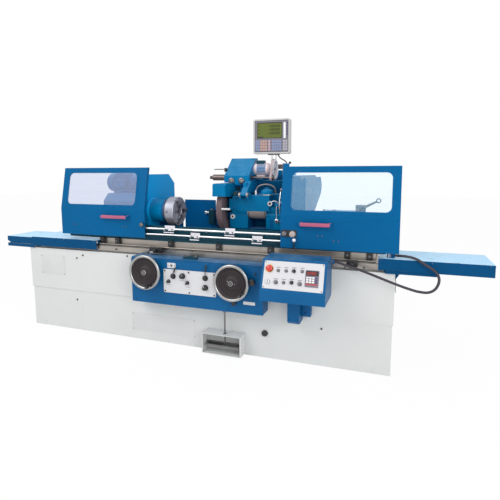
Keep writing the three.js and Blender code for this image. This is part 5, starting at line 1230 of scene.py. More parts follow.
class GRINDER_OT_workhead(bpy.types.Operator):
    """Workhead's motor, chuck, jaw screws and covers"""

    bl_idname = "grinder.workhead"
    bl_label = "Workhead"

    def execute(self, context):
        self.motor()
        self.chuck()
        p = Piece("workhead_fittings")
        p.screws((-0.755, -0.405), -0.126, (0.88, 1.06), TO_FRONT, 0.009, "workhead_paint")
        p.screws(-0.3687, (-0.092, 0.29), (0.86, 1.12), TO_RIGHT, 0.006, "workhead_paint")
        p.prism("x", [(-0.109, 0.836), (-0.099, 0.836), (-0.099, 1.308), (-0.109, 1.308)], -0.388, -0.367,
                "workhead_paint", 0.0015)
        p.turned("x", [(-0.369, 0.0902), (-0.369, 0.102), (-0.36, 0.1), (-0.354, 0.0902), (-0.369, 0.0902)],
                 *WORK_AXIS, "workhead_paint", 72)
        # Navy sheet under the chuck and navy ring beside it: painted shadow of the chuck on the panel and nose.
        p.block((-0.368, 0.052, 0.81), (-0.15, 0.055, 0.93), "navy_paint", 0.0006)
        p.turned("x", [(-0.247, 0.0902), (-0.247, 0.092), (-0.232, 0.092), (-0.2312, 0.0902),
                       (-0.247, 0.0902)], *WORK_AXIS, "navy_paint", 72)
        p.done("swivel_table", "blue_paint")
        return {"FINISHED"}

    def motor(self):
        p = Piece("workhead_motor_dressed")
        y, z, r = 0.032, 1.2383, 0.0775
        shell = [(-0.819, 0), (-0.819, 0.056), (-0.812, 0.07), (-0.8, r), (-0.755, r), (-0.755, 0.064),
                 (-0.575, 0.064), (-0.575, r), (-0.537, r), (-0.526, 0.066), (-0.521, 0.05), (-0.521, 0)]
        p.turned("x", shell, y, z, "blue_paint", 56)
        p.fins(36, (0, y, z), "X", (-0.755, -0.0016, 0.06), (-0.575, 0.0016, 0.0772), "blue_paint", 0.0006)
        p.block((-0.76, -0.023, 1.1504), (-0.58, 0.087, 1.18), "blue_paint", 0.004)
        p.block((-0.72, -0.07, 1.2), (-0.62, -0.04, 1.27), "blue_paint", 0.004)
        for i in range(4):
            inner, outer = 0.008 + 0.012 * i, 0.012 + 0.012 * i
            ring = [(-0.8194 - 0.0002 * i, inner), (-0.8194 - 0.0002 * i, outer), (-0.818, outer),
                    (-0.818, inner)]
            p.turned("x", ring + ring[:1], y, z, "black_steel", 40)
        p.done("swivel_table", "teal_paint", "headstock_motor")

    def chuck(self):
        p = Piece("chuck_dressed")
        y, z = WORK_AXIS
        # The back plate is in a darker steel as painted shade, where the back of the chuck lies in shadow.
        plate = [(-0.42, 0.029), (-0.42, 0.0445), (-0.228, 0.0445), (-0.228, 0.096), (-0.2265, 0.098)]
        p.turned("x", plate + [(-0.2035, 0.098), (-0.2035, 0.029), (-0.42, 0.029)], y, z, "dark_steel", 96)
        body = [(-0.204, 0.03), (-0.204, 0.11), (-0.202, 0.112), (-0.166, 0.112), (-0.165, 0.111),
                (-0.164, 0.112)]
        face = [(-0.135, 0.112), (-0.13, 0.1075), (-0.13, 0.09), (-0.1308, 0.089), (-0.1308, 0.086),
                (-0.13, 0.085)]
        p.turned("x", body + face + [(-0.13, 0.033), (-0.134, 0.029), (-0.204, 0.03)], y, z, "chuck_steel", 96)
        for i in range(3):
            turn = spun((0, y, z), math.radians(30 + 120 * i), "X")
            for start, end in ((-0.0128, -0.0121), (0.0121, 0.0128)):
                p.block((-0.152, start, 0.03), (-0.1295, end, 0.1118), "black_steel", 0, turn)
            other = spun((0, y, z), math.radians(90 + 120 * i), "X")
            for reach in (0.05, 0.074):
                spot = other @ Vector((-0.13, 0, reach))
                p.screw(spot, TO_RIGHT, 0.0075)
            p.turned("z", [(0.1105, 0), (0.1105, 0.0095), (0.1124, 0.0095), (0.1124, 0.0052), (0.1108, 0.005),
                           (0.1108, 0)], -0.184, 0, "black_steel", 24, other)
        p.done("chuck", "ground_steel", "chuck_body")
        for i in range(3):
            q = Piece("jaw_screws_%d" % (i + 1))
            turn = spun((0, y, z), math.radians(30 + 120 * i), "X")
            q.screw(turn @ Vector((-0.118, 0, 0.088)), TO_RIGHT, 0.0065)
            for side in (-0.012, 0.006):
                q.block((-0.1082, side, 0.035), (-0.107, side + 0.006, 0.069), "turned_steel", 0.0004, turn)
            q.done("jaw_%d" % (i + 1), "black_steel")


class GRINDER_OT_tailstock(bpy.types.Operator):
    """Quill, quill lever and fittings of the tailstock"""

    bl_idname = "grinder.tailstock"
    bl_label = "Tailstock"

    def execute(self, context):
        y, z = WORK_AXIS
        q = Piece("quill_dressed")
        q.turned("x", [(0.91, 0), (0.9105, 0.0012), (0.936, 0.014), (0.962, 0.0143), (0.962, 0.0215),
                       (0.965, 0.0225), (0.983, 0.029), (0.985, 0.03), (1.208, 0.03), (1.208, 0)], y, z,
                       "turned_steel", 72)
        q.done("quill", "ground_steel", "tailstock_quill")
        p = Piece("tailstock_fittings")
        p.turned("x", [(1.002, 0.0308), (1.002, 0.044), (1.004, 0.046), (1.01, 0.046), (1.01, 0.0308),
                       (1.002, 0.0308)], y, z, "dull_steel", 48)
        p.turned("z", [(1.056, 0), (1.056, 0.013), (1.059, 0.013), (1.06, 0.01), (1.06, 0)], 1.08, y,
                 "black_steel", 32)
        collar = [(1.2275, 0), (1.2275, 0.034), (1.229, 0.038)]
        for x in (1.229, 1.236, 1.243):
            collar += [(x + 0.004, 0.038), (x + 0.0045, 0.0335), (x + 0.0065, 0.0335), (x + 0.007, 0.038)]
        p.turned("x", collar + [(1.25, 0.034), (1.25, 0)], y, 1.06, "dull_steel", 56)
        p.block((1.25, -0.0518, 1.0962), (1.2874, -0.0282, 1.098), "dull_steel", 0.0006)
        p.block((1.2872, -0.0518, 1.033), (1.2884, -0.0282, 1.096), "dull_steel", 0.0004)
        p.screws((1.04, 1.197), -0.134, 0.866, TO_FRONT, 0.0085, "dull_steel")
        p.done("tailstock", "blue_paint")
        self.lever()
        return {"FINISHED"}

    def lever(self):
        p = Piece("quill_lever_dressed")
        x, z = 1.271, 1.079
        y0, y1 = -0.0643, -0.0523
        p.turned("y", [(y0, 0), (y0, 0.017), (y0 + 0.002, 0.02), (y1, 0.02), (y1, 0)], x, z, "dull_steel", 44)
        p.turned("y", [(y1 - 0.002, 0), (y1 - 0.002, 0.0058), (-0.0281, 0.0058), (-0.0281, 0)], x, z,
                 "dull_steel", 24)
        p.turned("y", [(y0 - 0.002, 0), (y0 - 0.002, 0.008), (y0, 0.01), (y0, 0)], x, z, "black_steel", 24)
        turn = spun((x, 0, z), math.radians(-27), "Y")
        arm = [(0.015, -0.009), (0.1, -0.0062), (0.1, 0.0062), (0.015, 0.009)]
        p.prism("y", arm, y0 + 0.002, y1 - 0.002, "dull_steel", 0.002, turn)
        ring = [(y0 + 0.0005, 0.009), (y0, 0.011), (y0, 0.015), (y0 + 0.002, 0.017), (y1 - 0.002, 0.017),
                (y1, 0.015), (y1, 0.011), (y1 - 0.0005, 0.009), (y0 + 0.0005, 0.009)]
        p.turned("y", ring, 0.112, 0.0, "dull_steel", 44, turn)
        p.done("quill_lever", "ground_steel", "tailstock_lever")


# Middles of the oil ring, as (x, z), and of the oil cap on the head, as (x, y)
OIL_RING, OIL_CAP = (0.53, 1.068), (0.487, 0.3)


class GRINDER_OT_wheelhead(bpy.types.Operator):
    """Wheel, motor, pulleys, pipes and covers of the wheelhead"""

    bl_idname = "grinder.wheelhead"
    bl_label = "Wheelhead"

    def execute(self, context):
        self.wheel()
        self.spindle()
        self.motor()
        p = Piece("wheelhead_fittings")
        self.bearing_blocks(p)
        self.sleeve(p)
        self.pipework(p)
        self.dome(p)
        self.hinge(p)
        self.head_top(p)
        self.nozzle(p)
        p.done("wheelhead", "blue_paint")
        self.hood_fittings()
        self.guard_fittings()
        return {"FINISHED"}

    def wheel(self):
        y, z = WHEEL_AXIS
        p = Piece("grinding_wheel_dressed")
        rim = [(0.106, 0.102), (0.106, 0.1985), (0.1075, 0.2), (0.1545, 0.2), (0.156, 0.1985)]
        p.turned("x", rim + [(0.156, 0.102), (0.106, 0.102)], y, z, "abrasive", 128)
        for x in (0.1056, 0.156):
            blotter = [(x, 0.103), (x, 0.145), (x + 0.0004, 0.145), (x + 0.0004, 0.103), (x, 0.103)]
            p.turned("x", blotter, y, z, "blotter", 96)
        p.done("spindle", "abrasive", "grinding_wheel")

    def spindle(self):
        y, z = WHEEL_AXIS
        p = Piece("wheel_spindle_dressed")
        nose = [(0.085, 0), (0.085, 0.03), (0.087, 0.034), (0.0957, 0.034), (0.0957, 0.096), (0.0985, 0.1013)]
        flange = [(0.1563, 0.1013), (0.1563, 0.12), (0.158, 0.122), (0.1663, 0.122), (0.1663, 0.0476)]
        tail = [(0.172, 0.0376), (0.662, 0.0376), (0.662, 0.0755), (0.6625, 0.076), (0.7055, 0.076),
                (0.706, 0.0755)]
        p.turned("x", nose + flange + tail + [(0.706, 0.03), (0.704, 0.028), (0.704, 0)], y, z,
                 "turned_steel", 80)
        for i in range(8):
            a = 2 * math.pi * i / 8
            p.screw((0.0957, y + 0.056 * math.cos(a), z + 0.056 * math.sin(a)), TO_LEFT, 0.006)
        for i in range(2):
            a = math.pi * i
            p.screw((0.085, y + 0.02 * math.cos(a), z + 0.02 * math.sin(a)), TO_LEFT, 0.003)
        p.done("spindle", "ground_steel", "wheel_spindle")

    def motor(self):
        y, z, r = 0.86, 1.2303, 0.0838
        p = Piece("wheel_motor_dressed")
        shell = [(0.237, 0), (0.237, 0.06), (0.244, 0.076), (0.26, r), (0.31, r), (0.31, 0.069)]
        shell += [(0.54, 0.069), (0.54, r), (0.585, r), (0.596, 0.07), (0.5995, 0.05), (0.5995, 0)]
        p.turned("x", shell, y, z, "head_paint", 56)
        p.fins(40, (0, y, z), "X", (0.31, -0.0016, 0.064), (0.54, 0.0016, r - 0.0006), "head_paint", 0.0006)
        p.block((0.262, y - 0.073, 1.1345), (0.574, y + 0.073, 1.18), "head_paint", 0.004)
        p.block((0.37, y - 0.05, 1.29), (0.48, y + 0.05, 1.335), "head_paint", 0.004)
        p.done("wheelhead", "blue_paint", "wheel_motor")
        q = Piece("motor_pulley_dressed")
        shaft = [(0.6005, 0), (0.6005, 0.019), (0.658, 0.019), (0.658, 0.04), (0.6595, 0.044)]
        q.turned("x", shaft + [(0.7005, 0.044), (0.702, 0.04), (0.702, 0.018), (0.7, 0.016), (0.7, 0)],
                 y, z, "dull_steel", 64)
        q.done("drive_pulley", "black_steel", "motor_pulley")

    def bearing_blocks(self, p):
        """Screws, sight glass and caps on the two bearing blocks, which face the operator."""
        front = 0.26
        p.screws((0.189, 0.318, 0.506, 0.613), front, (0.873, 0.966), TO_FRONT, 0.0062, "head_paint")
        p.turned("y", [(0.249, 0.009), (0.248, 0.0105), (0.248, 0.0175), (0.2505, 0.0195), (0.26, 0.0195),
                       (0.26, 0.009), (0.249, 0.009)],
                 0.204, 0.953, "white_plastic", 44)
        p.turned("y", [(0.254, 0), (0.254, 0.0092), (0.26, 0.0092), (0.26, 0)], 0.204, 0.953, "black_steel", 32)
        p.turned("y", [(0.243, 0), (0.243, 0.012), (0.2465, 0.0165), (0.26, 0.0185), (0.26, 0)], 0.583, 0.93,
                 "aluminium", 36)
        p.turned("y", [(0.241, 0), (0.241, 0.0055), (0.2435, 0.007), (0.2435, 0)], 0.583, 0.93, "black_steel",
                 24)
        # Navy sheet on the right block's face: painted shade standing for a dark slot.
        p.block((0.524, 0.2588, 0.866), (0.552, 0.2602, 0.938), "navy_paint", 0.0004)
        p.block((0.1742, 0.259, 0.979), (0.3328, 0.2606, 0.9835), "head_paint", 0.0006, None, 1)

    def sleeve(self, p):
        """Ground sleeve between the blocks, over a recess lined with navy sheets as painted shade."""
        y, z = WHEEL_AXIS
        p.turned("x", [(0.3335, 0), (0.3335, 0.0843), (0.4915, 0.0843), (0.4915, 0)], y, z, "sleeve_steel", 96)
        for x in (0.3405, 0.479):
            ring = [(x, 0.084), (x, 0.0856), (x + 0.006, 0.0856), (x + 0.006, 0.084), (x, 0.084)]
            p.turned("x", ring, y, z, "dull_steel", 72)
        # Navy back, sides and floor of the recess: painted shade of the hollow.
        p.block((0.3334, 0.463, 0.8572), (0.4916, 0.4655, 0.9324), "navy_paint", 0)
        for x in (0.3332, 0.491):
            p.block((x, 0.262, 0.8572), (x + 0.0008, 0.465, 0.9324), "navy_paint", 0)
        p.block((0.3334, 0.262, 0.8571), (0.4916, 0.465, 0.8578), "navy_paint", 0)

    def pipework(self, p):
        """Coolant riser, its bright pipes and the oil ring beside it."""
        riser = [(0.9865, 0), (0.9865, 0.015), (1.0, 0.015), (1.003, 0.0115), (1.177, 0.0115), (1.177, 0)]
        p.turned("z", riser, 0.616, 0.293, "head_paint", 32)
        p.ball((0.616, 0.284, 1.177), 0.017, "dull_steel")
        bright = [(0.61, 0.258, 0.987), (0.609, 0.248, 1.01), (0.606, 0.246, 1.075), (0.611, 0.256, 1.13)]
        p.tube(bright + [(0.612, 0.268, 1.163)], 0.0052, "bright_rim", 14, 6)
        loop = [(0.602, 0.256, 0.92), (0.624, 0.244, 0.945), (0.633, 0.242, 0.99), (0.63, 0.244, 1.04)]
        p.tube(loop + [(0.615, 0.26, 1.08)], 0.0036, "bright_rim", 12, 6)
        p.turned("y", [(0.242, 0), (0.242, 0.0215), (0.246, 0.0235), (0.344, 0.0235), (0.344, 0)], *OIL_RING,
                 "head_paint", 40)
        ring = [(0.235, 0.011), (0.235, 0.019), (0.238, 0.021), (0.2425, 0.021), (0.2425, 0.011),
                (0.235, 0.011)]
        p.turned("y", ring, 0.53, 1.068, "aluminium", 40)
        p.turned("y", [(0.24, 0), (0.24, 0.0112), (0.2425, 0.0112), (0.2425, 0)], *OIL_RING, "black_steel", 32)
        p.tube([(0.545, 0.242, 1.083), (0.564, 0.24, 1.09), (0.584, 0.244, 1.084), (0.595, 0.256, 1.06)],
               0.0045, "bright_rim", 12, 6)
        p.tube([(0.584, 0.252, 1.05), (0.58, 0.25, 1.01), (0.583, 0.248, 0.97), (0.583, 0.247, 0.948)],
               0.004, "aluminium", 12, 6)
        p.block((0.566, 0.25, 1.048), (0.602, 0.344, 1.072), "head_paint", 0.003)

    def dome(self, p):
        """Round oil cap on the head and the hose that bends over it."""
        p.turned("z", [(1.134, 0), (1.134, 0.06), (1.14, 0.06), (1.142, 0.056), (1.142, 0)], *OIL_CAP,
                 "aluminium", 56)
        shell = [(1.1415, 0), (1.1415, 0.052), (1.155, 0.052)]
        for i in range(1, 9):
            a = math.pi / 2 * i / 8
            shell.append((1.155 + 0.03 * math.sin(a), 0.052 * math.cos(a)))
        p.turned("z", shell[:-1] + [(1.185, 0)], *OIL_CAP, "head_paint", 56)
        p.turned("z", [(1.182, 0), (1.182, 0.013), (1.193, 0.012), (1.195, 0.01), (1.195, 0)], *OIL_CAP,
                 "head_paint", 32)
        arc = [(0.56, 0.32, 1.15), (0.545, 0.312, 1.195), (0.496, 0.302, 1.218), (0.433, 0.3, 1.211)]
        p.tube(arc + [(0.402, 0.298, 1.186), (0.393, 0.292, 1.15), (0.396, 0.28, 1.134)], 0.0085,
               "dull_steel", 18, 8)
        p.turned("z", [(1.1335, 0), (1.1335, 0.016), (1.148, 0.016), (1.151, 0.0125), (1.172, 0.0115),
                       (1.172, 0)],
                 0.395, 0.288, "aluminium", 32)

    def hinge(self, p):
        """Bright bush, pin heads and stop of the attachment's hinge."""
        for x, side in ((0.2868, -1), (0.3652, 1)):
            head = [(x, 0), (x, 0.01), (x + side * 0.005, 0.01), (x + side * 0.0065, 0.008),
                    (x + side * 0.0065, 0)]
            p.turned("x", head, *HINGE_AXIS, "dull_steel", 32)
        for x in (0.2872, 0.3512):
            bush = [(x, 0.0112), (x, 0.017), (x + 0.0136, 0.017), (x + 0.0136, 0.0112), (x, 0.0112)]
            p.turned("x", bush, *HINGE_AXIS, "sleeve_steel", 40)
        p.turned("y", [(0.184, 0), (0.184, 0.016), (0.187, 0.019), (0.25, 0.019), (0.25, 0)], 0.252, 1.148,
                 "teal_paint", 40)
        p.turned("y", [(0.1815, 0), (0.1815, 0.009), (0.184, 0.01), (0.184, 0)], 0.252, 1.148, "black_steel",
                 24)
        p.block((0.23, 0.198, 1.118), (0.274, 0.2505, 1.13), "head_paint", 0.002)

    def head_top(self, p):
        """Covers on the casting's top and the bolts along its edge."""
        p.block((0.35, 0.656, 1.1343), (0.595, 0.766, 1.246), "head_paint", 0.01, None, 3)
        p.screws((0.37, 0.575), 0.656, 1.22, TO_FRONT, 0.006, "head_paint")
        p.block((0.236, 0.548, 1.1343), (0.346, 0.654, 1.26), "head_paint", 0.006)
        p.block((0.2062, 0.2464, 1.0032), (0.5198, 0.2506, 1.1336), "head_paint", 0.0008)
        p.block((0.207, 0.2452, 1.121), (0.519, 0.2466, 1.133), "head_paint", 0.0008)
        p.screws((0.244, 0.504), 0.2464, 1.013, TO_FRONT, 0.006, "head_paint")

    def nozzle(self, p):
        """Slim moulded bar across the wheel's front, on its pipe."""
        bar = [(0.1604, 0), (0.1604, 0.007), (0.1615, 0.0079), (0.231, 0.0079), (0.2325, 0.007), (0.2325, 0)]
        p.turned("x", bar, 0.12, 1.026, "white_plastic", 28)
        p.turned("y", [(0.128, 0), (0.128, 0.009), (0.142, 0.009), (0.144, 0.0068), (0.144, 0)], 0.226, 1.026,
                 "head_paint", 24)
        p.turned("y", [(0.238, 0), (0.238, 0.0095), (0.25, 0.011), (0.25, 0)], 0.226, 1.026, "head_paint", 24)

    def hood_fittings(self):
        p = Piece("hood_fittings")
        for y, z in ((0.125, 1.15), (0.125, 1.212), (0.53, 1.212), (0.53, 0.86)):
            p.screw((0.088, y, z), TO_LEFT, 0.006, "head_paint")
        p.screws(0.145, (0.13, 0.3, 0.52), 1.229, UPWARD, 0.0065, "head_paint")
        p.block((0.09, 0.101, 1.133), (0.199, 0.113, 1.215), "head_paint", 0.002)
        p.block((0.0866, 0.41, 1.115), (0.0882, 0.54, 1.122), "head_paint", 0.0004)
        p.done("wheelhead", "blue_paint")

    def guard_fittings(self):
        p = Piece("belt_guard_fittings")
        for x, z in ((0.668, 1.268), (0.668, 0.925), (0.8, 0.925), (0.8, 1.15), (0.752, 1.268)):
            p.screw((x, 0.222, z), TO_FRONT, 0.006, "blue_paint")
        for y, z in ((0.245, 1.25), (0.245, 0.93), (0.86, 1.25), (0.925, 1.16), (0.56, 0.99)):
            p.screw((0.822, y, z), TO_RIGHT, 0.006, "blue_paint")
        p.block((0.68, 0.2205, 1.03), (0.79, 0.2222, 1.042), "blue_paint", 0.001)
        wall = ((0.226, 0.834, 1.136, 1.286), (0.834, 0.886, 1.136, 1.204), (0.834, 0.886, 1.256, 1.279))
        for y0, y1, z0, z1 in wall:
            p.block((0.6403, y0, z0), (0.6433, y1, z1), "head_paint", 0)
        p.prism("x", [(0.886, 1.136), (0.937, 1.136), (0.97, 1.197), (0.886, 1.279)], 0.6403, 0.6433,
                "head_paint", 0)
        p.done("wheelhead", "blue_paint")


class GRINDER_OT_dresser(bpy.types.Operator):
    """Wheel dresser's block with its knob, and the splash panel's screws"""

    bl_idname = "grinder.dresser"
    bl_label = "Dresser"

    def execute(self, context):
        p = Piece("dresser")
        p.block((-0.046, 0.313, 0.875), (0.004, 0.3499, 0.996), "teal_paint", 0.004)
        p.turned("x", [(-0.086, 0), (-0.086, 0.011), (-0.083, 0.014), (-0.064, 0.014), (-0.062, 0.009),
                       (-0.0462, 0.009), (-0.0462, 0)],
                 0.331, 0.972, "aluminium", 32)
        p.turned("z", [(0.9955, 0), (0.9955, 0.01), (1.006, 0.009), (1.008, 0.007), (1.008, 0)], -0.022,
                 0.331, "dull_steel", 24)
        p.screws(-0.021, 0.313, (0.895, 0.95), TO_FRONT, 0.0055, "black_steel")
        p.block((0.002, 0.354, 0.686), (0.006, 0.64, 0.96), "navy_paint", 0.0006)
        p.block((-0.028, 0.356, 0.6846), (0.006, 0.64, 0.688), "navy_paint", 0.0006)
        p.screws((-0.276, -0.096), 0.35, (0.815, 1.064), TO_FRONT, 0.005, "navy_paint")
        p.done("bed", "blue_paint")
        return {"FINISHED"}


class GRINDER_OT_internal_attachment(bpy.types.Operator):
    """Spindle, motor, pulley and caps of the fold-down attachment"""

    bl_idname = "grinder.internal_attachment"
    bl_label = "Internal attachment"

    def execute(self, context):
        self.spindle()
        self.pulley()
        p = Piece("attachment_fittings")
        for x in (0.181, 0.268):
            cap = [(0.282, 0.01), (0.28, 0.013), (0.281, 0.019), (0.284, 0.0245), (0.295, 0.0262),
                   (0.295, 0.01), (0.282, 0.01)]
            p.turned("y", cap, x, 1.249, "dull_steel", 48)
            p.turned("y", [(0.2845, 0), (0.2845, 0.004), (0.286, 0.0102), (0.295, 0.0102), (0.295, 0)], x,
                     1.249, "ground_steel", 36)
        self.housing(p)
        self.slope(p)
        self.motor(p)
        self.left_end(p)
        p.done("attachment", "blue_paint")
        return {"FINISHED"}

    def housing(self, p):
        """Lower part of the casting, set back under the nose, with two plugged bores."""
        p.block((0.206, 0.335, 1.142), (0.331, 0.538, 1.24), "head_paint", 0.003)
        p.block((0.301, 0.24, 1.15), (0.3316, 0.53, 1.235), "head_paint", 0.004)
        for x in (0.225, 0.275):
            p.turned("y", [(0.328, 0), (0.328, 0.014), (0.335, 0.016), (0.335, 0)], x, 1.183, "black_steel", 32)

    def slope(self, p):
        """Rolled ribs, seam and screws of the sloping face."""
        run = Vector((0, 0.18, 0.147)).normalized()
        out = Vector((0, -run.z, run.y))
        for t in (0.052, 0.118, 0.184):
            spot = Vector((0, 0.295, 1.291)) + run * t
            corners = [spot - run * 0.007, spot + out * 0.0022, spot + run * 0.007, spot - out * 0.002]
            p.prism("x", [(c.y, c.z) for c in corners], 0.115, 0.329, "head_paint", 0.0008)
        for x in (0.128, 0.316):
            for y, z in ((0.31, 1.3033), (0.462, 1.4275)):
                p.screw((x, y, z), out, 0.0055, "head_paint")
        p.block((0.1135, 0.2938, 1.218), (0.3305, 0.2952, 1.2215), "navy_paint", 0.0004)

    def motor(self, p):
        y, z = PULLEY_AXIS
        flange = [(0.3312, 0.038), (0.3312, 0.049), (0.345, 0.0532), (0.362, 0.0532), (0.362, 0.0515)]
        shell = flange + [(0.438, 0.0515), (0.438, 0.0532), (0.456, 0.0532), (0.4704, 0.039), (0.4704, 0.02)]
        p.turned("x", shell + [(0.3312, 0.02), (0.3312, 0.038)], y, z, "pink_enamel", 60)
        p.fins(28, (0, y, z), "X", (0.364, -0.0012, 0.0505), (0.436, 0.0012, 0.0555), "pink_enamel", 0.0004)
        p.block((0.354, 0.43, 1.385), (0.42, 0.49, 1.418), "teal_paint", 0.003)
        p.block((0.356, 0.428, 1.28), (0.43, 0.492, 1.296), "pink_enamel", 0.003)

    def left_end(self, p):
        y, z = BORE_AXIS
        rim = [(0.102, 0.0275), (0.102, 0.037), (0.1035, 0.039), (0.1135, 0.039), (0.1135, 0.0275),
               (0.102, 0.0275)]
        p.turned("x", rim, y, z, "head_paint", 48)
        p.turned("x", [(0.002, 0), (0.002, 0.0036), (0.003, 0.0044), (0.123, 0.0044), (0.123, 0)], 0.345,
                 1.344, "dull_steel", 20)
        p.block((0.098, 0.333, 1.322), (0.118, 0.358, 1.356), "black_steel", 0.003)

    def spindle(self):
        y, z = BORE_AXIS
        p = Piece("internal_spindle_dressed")
        tip = [(-0.048, 0), (-0.048, 0.0125), (-0.047, 0.0138), (-0.029, 0.014), (-0.028, 0.013),
               (-0.028, 0.0088)]
        quill = [(-0.02, 0.009), (-0.02, 0.0235), (-0.017, 0.0262), (0.03, 0.0262), (0.031, 0.025),
                 (0.034, 0.025)]
        rest = [(0.035, 0.0262), (0.332, 0.0262), (0.332, 0.009), (0.49, 0.009), (0.49, 0.0245), (0.491, 0.025)]
        p.turned("x", tip + quill + rest + [(0.519, 0.025), (0.52, 0.024), (0.52, 0)], y, z, "brown_steel", 56)
        p.turned("x", [(-0.0482, 0), (-0.0482, 0.0128), (-0.047, 0.0142), (-0.03, 0.0142), (-0.029, 0.013),
                       (-0.029, 0)],
                 y, z, "abrasive", 40)
        p.done("bore_spindle", "ground_steel", "internal_spindle")

    def pulley(self):
        y, z = PULLEY_AXIS
        p = Piece("internal_pulley_dressed")
        back = [(0.4705, 0), (0.4705, 0.012), (0.4835, 0.024), (0.49, 0.0815), (0.491, 0.084)]
        web = [(0.512, 0.07), (0.506, 0.066), (0.5045, 0.038), (0.508, 0.024), (0.508, 0.012), (0.503, 0.01)]
        p.turned("x", back + [(0.515, 0.084), (0.516, 0.083), (0.516, 0.072)] + web + [(0.503, 0)], y, z,
                 "pale_cast", 80)
        groove = [(0.5068, 0.056), (0.5068, 0.061), (0.5048, 0.061), (0.5048, 0.056), (0.5068, 0.056)]
        p.turned("x", groove, y, z, "bezel_plastic", 72)
        p.turned("x", [(0.5, 0), (0.5, 0.02), (0.5098, 0.02), (0.5105, 0.0185), (0.5105, 0)], y, z,
                 "bezel_plastic", 40)
        for i in range(4):
            a = 2 * math.pi * i / 4
            p.screw((0.505, y + 0.031 * math.cos(a), z + 0.031 * math.sin(a)), TO_RIGHT, 0.0045)
        p.done("bore_pulley", "ground_steel", "internal_pulley")


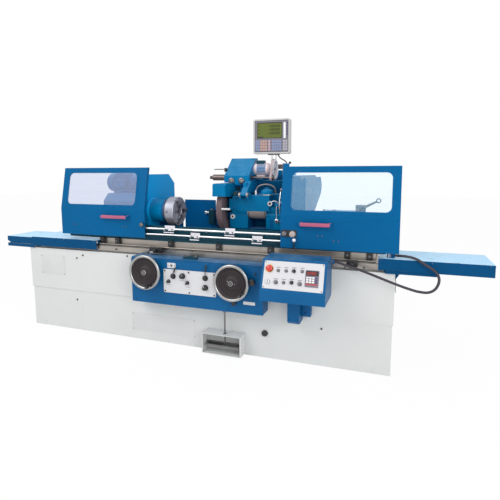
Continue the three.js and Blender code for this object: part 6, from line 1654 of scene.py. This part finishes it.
class GRINDER_OT_readout(bpy.types.Operator):
    """Read-out with its bezel, screen and keys"""

    bl_idname = "grinder.readout"
    bl_label = "Read-out"

    def execute(self, context):
        p = Piece("readout_dressed")
        p.prism("y", rounded_outline(0.294, 0.616, 1.475, 1.77, 0.014), 0.5225, 0.5995, "shell_plastic",
                0.004, steps=3)
        layers = (
            ((0.309, 0.607, 1.492, 1.757, 0.006), 0.5208, 0.523, "black_plastic", 0.0006),
            ((0.313, 0.604, 1.496, 1.753, 0.005), 0.5203, 0.5212, "bezel_plastic", 0.0005),
            ((0.329, 0.554, 1.606, 1.741, 0.005), 0.52, 0.5214, "black_plastic", 0.0005),
            ((0.334, 0.549, 1.611, 1.733, 0.003), 0.51985, 0.5204, "screen", 0.0003),
            ((0.5655, 0.585, 1.604, 1.738, 0.003), 0.5198, 0.5206, "white_plastic", 0.0004),
        )
        for sides, front, back, look, edge in layers:
            p.prism("y", rounded_outline(*sides), front, back, look, edge)
        self.rows(p)
        self.keys(p)
        p.screws((0.312, 0.6), 0.6, (1.493, 1.752), TO_BACK, 0.005)
        for i in range(7):
            z = 1.56 + i * 0.018
            p.block((0.4, 0.599, z), (0.532, 0.6, z + 0.006), "black_steel", 0)
        p.block((0.42, 0.54, 1.466), (0.52, 0.585, 1.4765), "dull_steel", 0.002)
        p.done("readout", "console_shell", "readout_console")
        self.joint_cover()
        return {"FINISHED"}

    def rows(self, p):
        """Dark figures on the screen: three rows of zeros."""
        for row in range(3):
            z = 1.709 - row * 0.03
            p.block((0.341, 0.5194, z - 0.005), (0.352, 0.52, z + 0.005), "digits", 0)
            p.block((0.437, 0.5194, z - 0.006), (0.445, 0.52, z + 0.006), "digits", 0)
            for i in range(5):
                x = 0.46 + i * 0.0165
                strokes = ((0, 0.008, 0.005, 0.0022), (0, -0.008, 0.005, 0.0022), (-0.005, 0, 0.002, 0.008),
                           (0.005, 0, 0.002, 0.008))
                for dx, dz, a, b in strokes:
                    p.block((x + dx - a, 0.5195, z + dz - b), (x + dx + a, 0.52, z + dz + b), "digits", 0)
        p.block((0.336, 0.5195, 1.6125), (0.386, 0.52, 1.622), "black_plastic", 0)

    def keys(self, p):
        """Violet keys beside the screen and the coloured blocks of keys under it."""
        for i in range(5):
            z = 1.731 - i * 0.0227
            p.block((0.59, 0.5185, z - 0.0062), (0.602, 0.521, z + 0.0062), "violet_key", 0.0012)
        blocks = (("blue_key", 0.3235, 2), ("orange_key", 0.369, 3), ("pink_key", 0.4405, 1),
                  ("blue_key", 0.474, 4),
                  ("dim_key", 0.57, 2))
        for row in range(4):
            z = 1.581 - row * 0.0232
            for look, start, count in blocks:
                for column in range(count):
                    x = start + column * 0.0212
                    p.block((x - 0.009, 0.5186, z - 0.0095), (x + 0.009, 0.521, z + 0.0095), look, 0.0014)

    def joint_cover(self):
        p = Piece("console_arm_fittings")
        p.turned("z", [(1.386, 0), (1.386, 0.03), (1.392, 0.03), (1.396, 0.025), (1.396, 0)], 0.56, 0.62,
                 "aluminium", 44)
        p.turned("z", [(1.378, 0.0182), (1.378, 0.026), (1.42, 0.026), (1.424, 0.023), (1.424, 0.0182),
                       (1.378, 0.0182)], 0.47, 0.56, "aluminium", 44)
        p.turned("z", [(1.43, 0.0182), (1.43, 0.024), (1.464, 0.024), (1.464, 0.0182), (1.43, 0.0182)], 0.47,
                 0.56, "bright_rim", 44)
        p.tube([(0.56, 0.59, 1.372), (0.59, 0.57, 1.38), (0.612, 0.556, 1.396)], 0.0055, "aluminium", 14, 6)
        p.ball((0.616, 0.553, 1.399), 0.0105, "black_plastic")
        p.tube([(0.5, 0.57, 1.474), (0.52, 0.6, 1.44), (0.56, 0.655, 1.4), (0.575, 0.65, 1.3),
                (0.57, 0.646, 1.18), (0.575, 0.65, 1.135)], 0.005, "black_plastic", 12, 8)
        for i in range(4):
            a = math.pi / 4 + math.pi / 2 * i
            p.screw((0.56 + 0.031 * math.cos(a), 0.62 + 0.031 * math.sin(a), 1.1523), UPWARD, 0.0045)
        p.done("wheelhead", "ground_steel")


class GRINDER_PT_panel(bpy.types.Panel):
    """Lists the machine's pieces"""

    bl_label = "Grinding machine"
    bl_idname = "GRINDER_PT_panel"
    bl_space_type = "VIEW_3D"
    bl_region_type = "UI"
    bl_category = "Grinder"

    def draw(self, context):
        layout = self.layout
        for group in (context.scene.grinder_colours, context.scene.grinder_sizes, context.scene.grinder_stage):
            box = layout.box()
            for name in group.__annotations__:
                box.prop(group, name)
        for operator in OPERATORS:
            layout.operator(operator.bl_idname)


OPERATORS = (
    GRINDER_OT_stage, GRINDER_OT_conduit, GRINDER_OT_castings, GRINDER_OT_bed_fittings,
    GRINDER_OT_apron_controls,
    GRINDER_OT_control_panel, GRINDER_OT_table_fittings, GRINDER_OT_doors, GRINDER_OT_gutter_rails,
    GRINDER_OT_workhead,
    GRINDER_OT_tailstock, GRINDER_OT_wheelhead, GRINDER_OT_dresser, GRINDER_OT_internal_attachment,
    GRINDER_OT_readout,
)
GROUPS = (GrinderColours, GrinderSizes, GrinderStage)


def register():
    for item in GROUPS + OPERATORS + (GRINDER_PT_panel,):
        bpy.utils.register_class(item)
    bpy.types.Scene.grinder_colours = PointerProperty(type=GrinderColours)
    bpy.types.Scene.grinder_sizes = PointerProperty(type=GrinderSizes)
    bpy.types.Scene.grinder_stage = PointerProperty(type=GrinderStage)


def unregister():
    del bpy.types.Scene.grinder_stage
    del bpy.types.Scene.grinder_sizes
    del bpy.types.Scene.grinder_colours
    for item in reversed(GROUPS + OPERATORS + (GRINDER_PT_panel,)):
        bpy.utils.unregister_class(item)


def main():
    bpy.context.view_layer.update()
    register()
    for operator in OPERATORS:
        group, name = operator.bl_idname.split(".")
        result = getattr(getattr(bpy.ops, group), name)()
        if result != {"FINISHED"}:
            raise RuntimeError(operator.bl_idname + " did not finish")


if __name__ == "__main__":
    main()
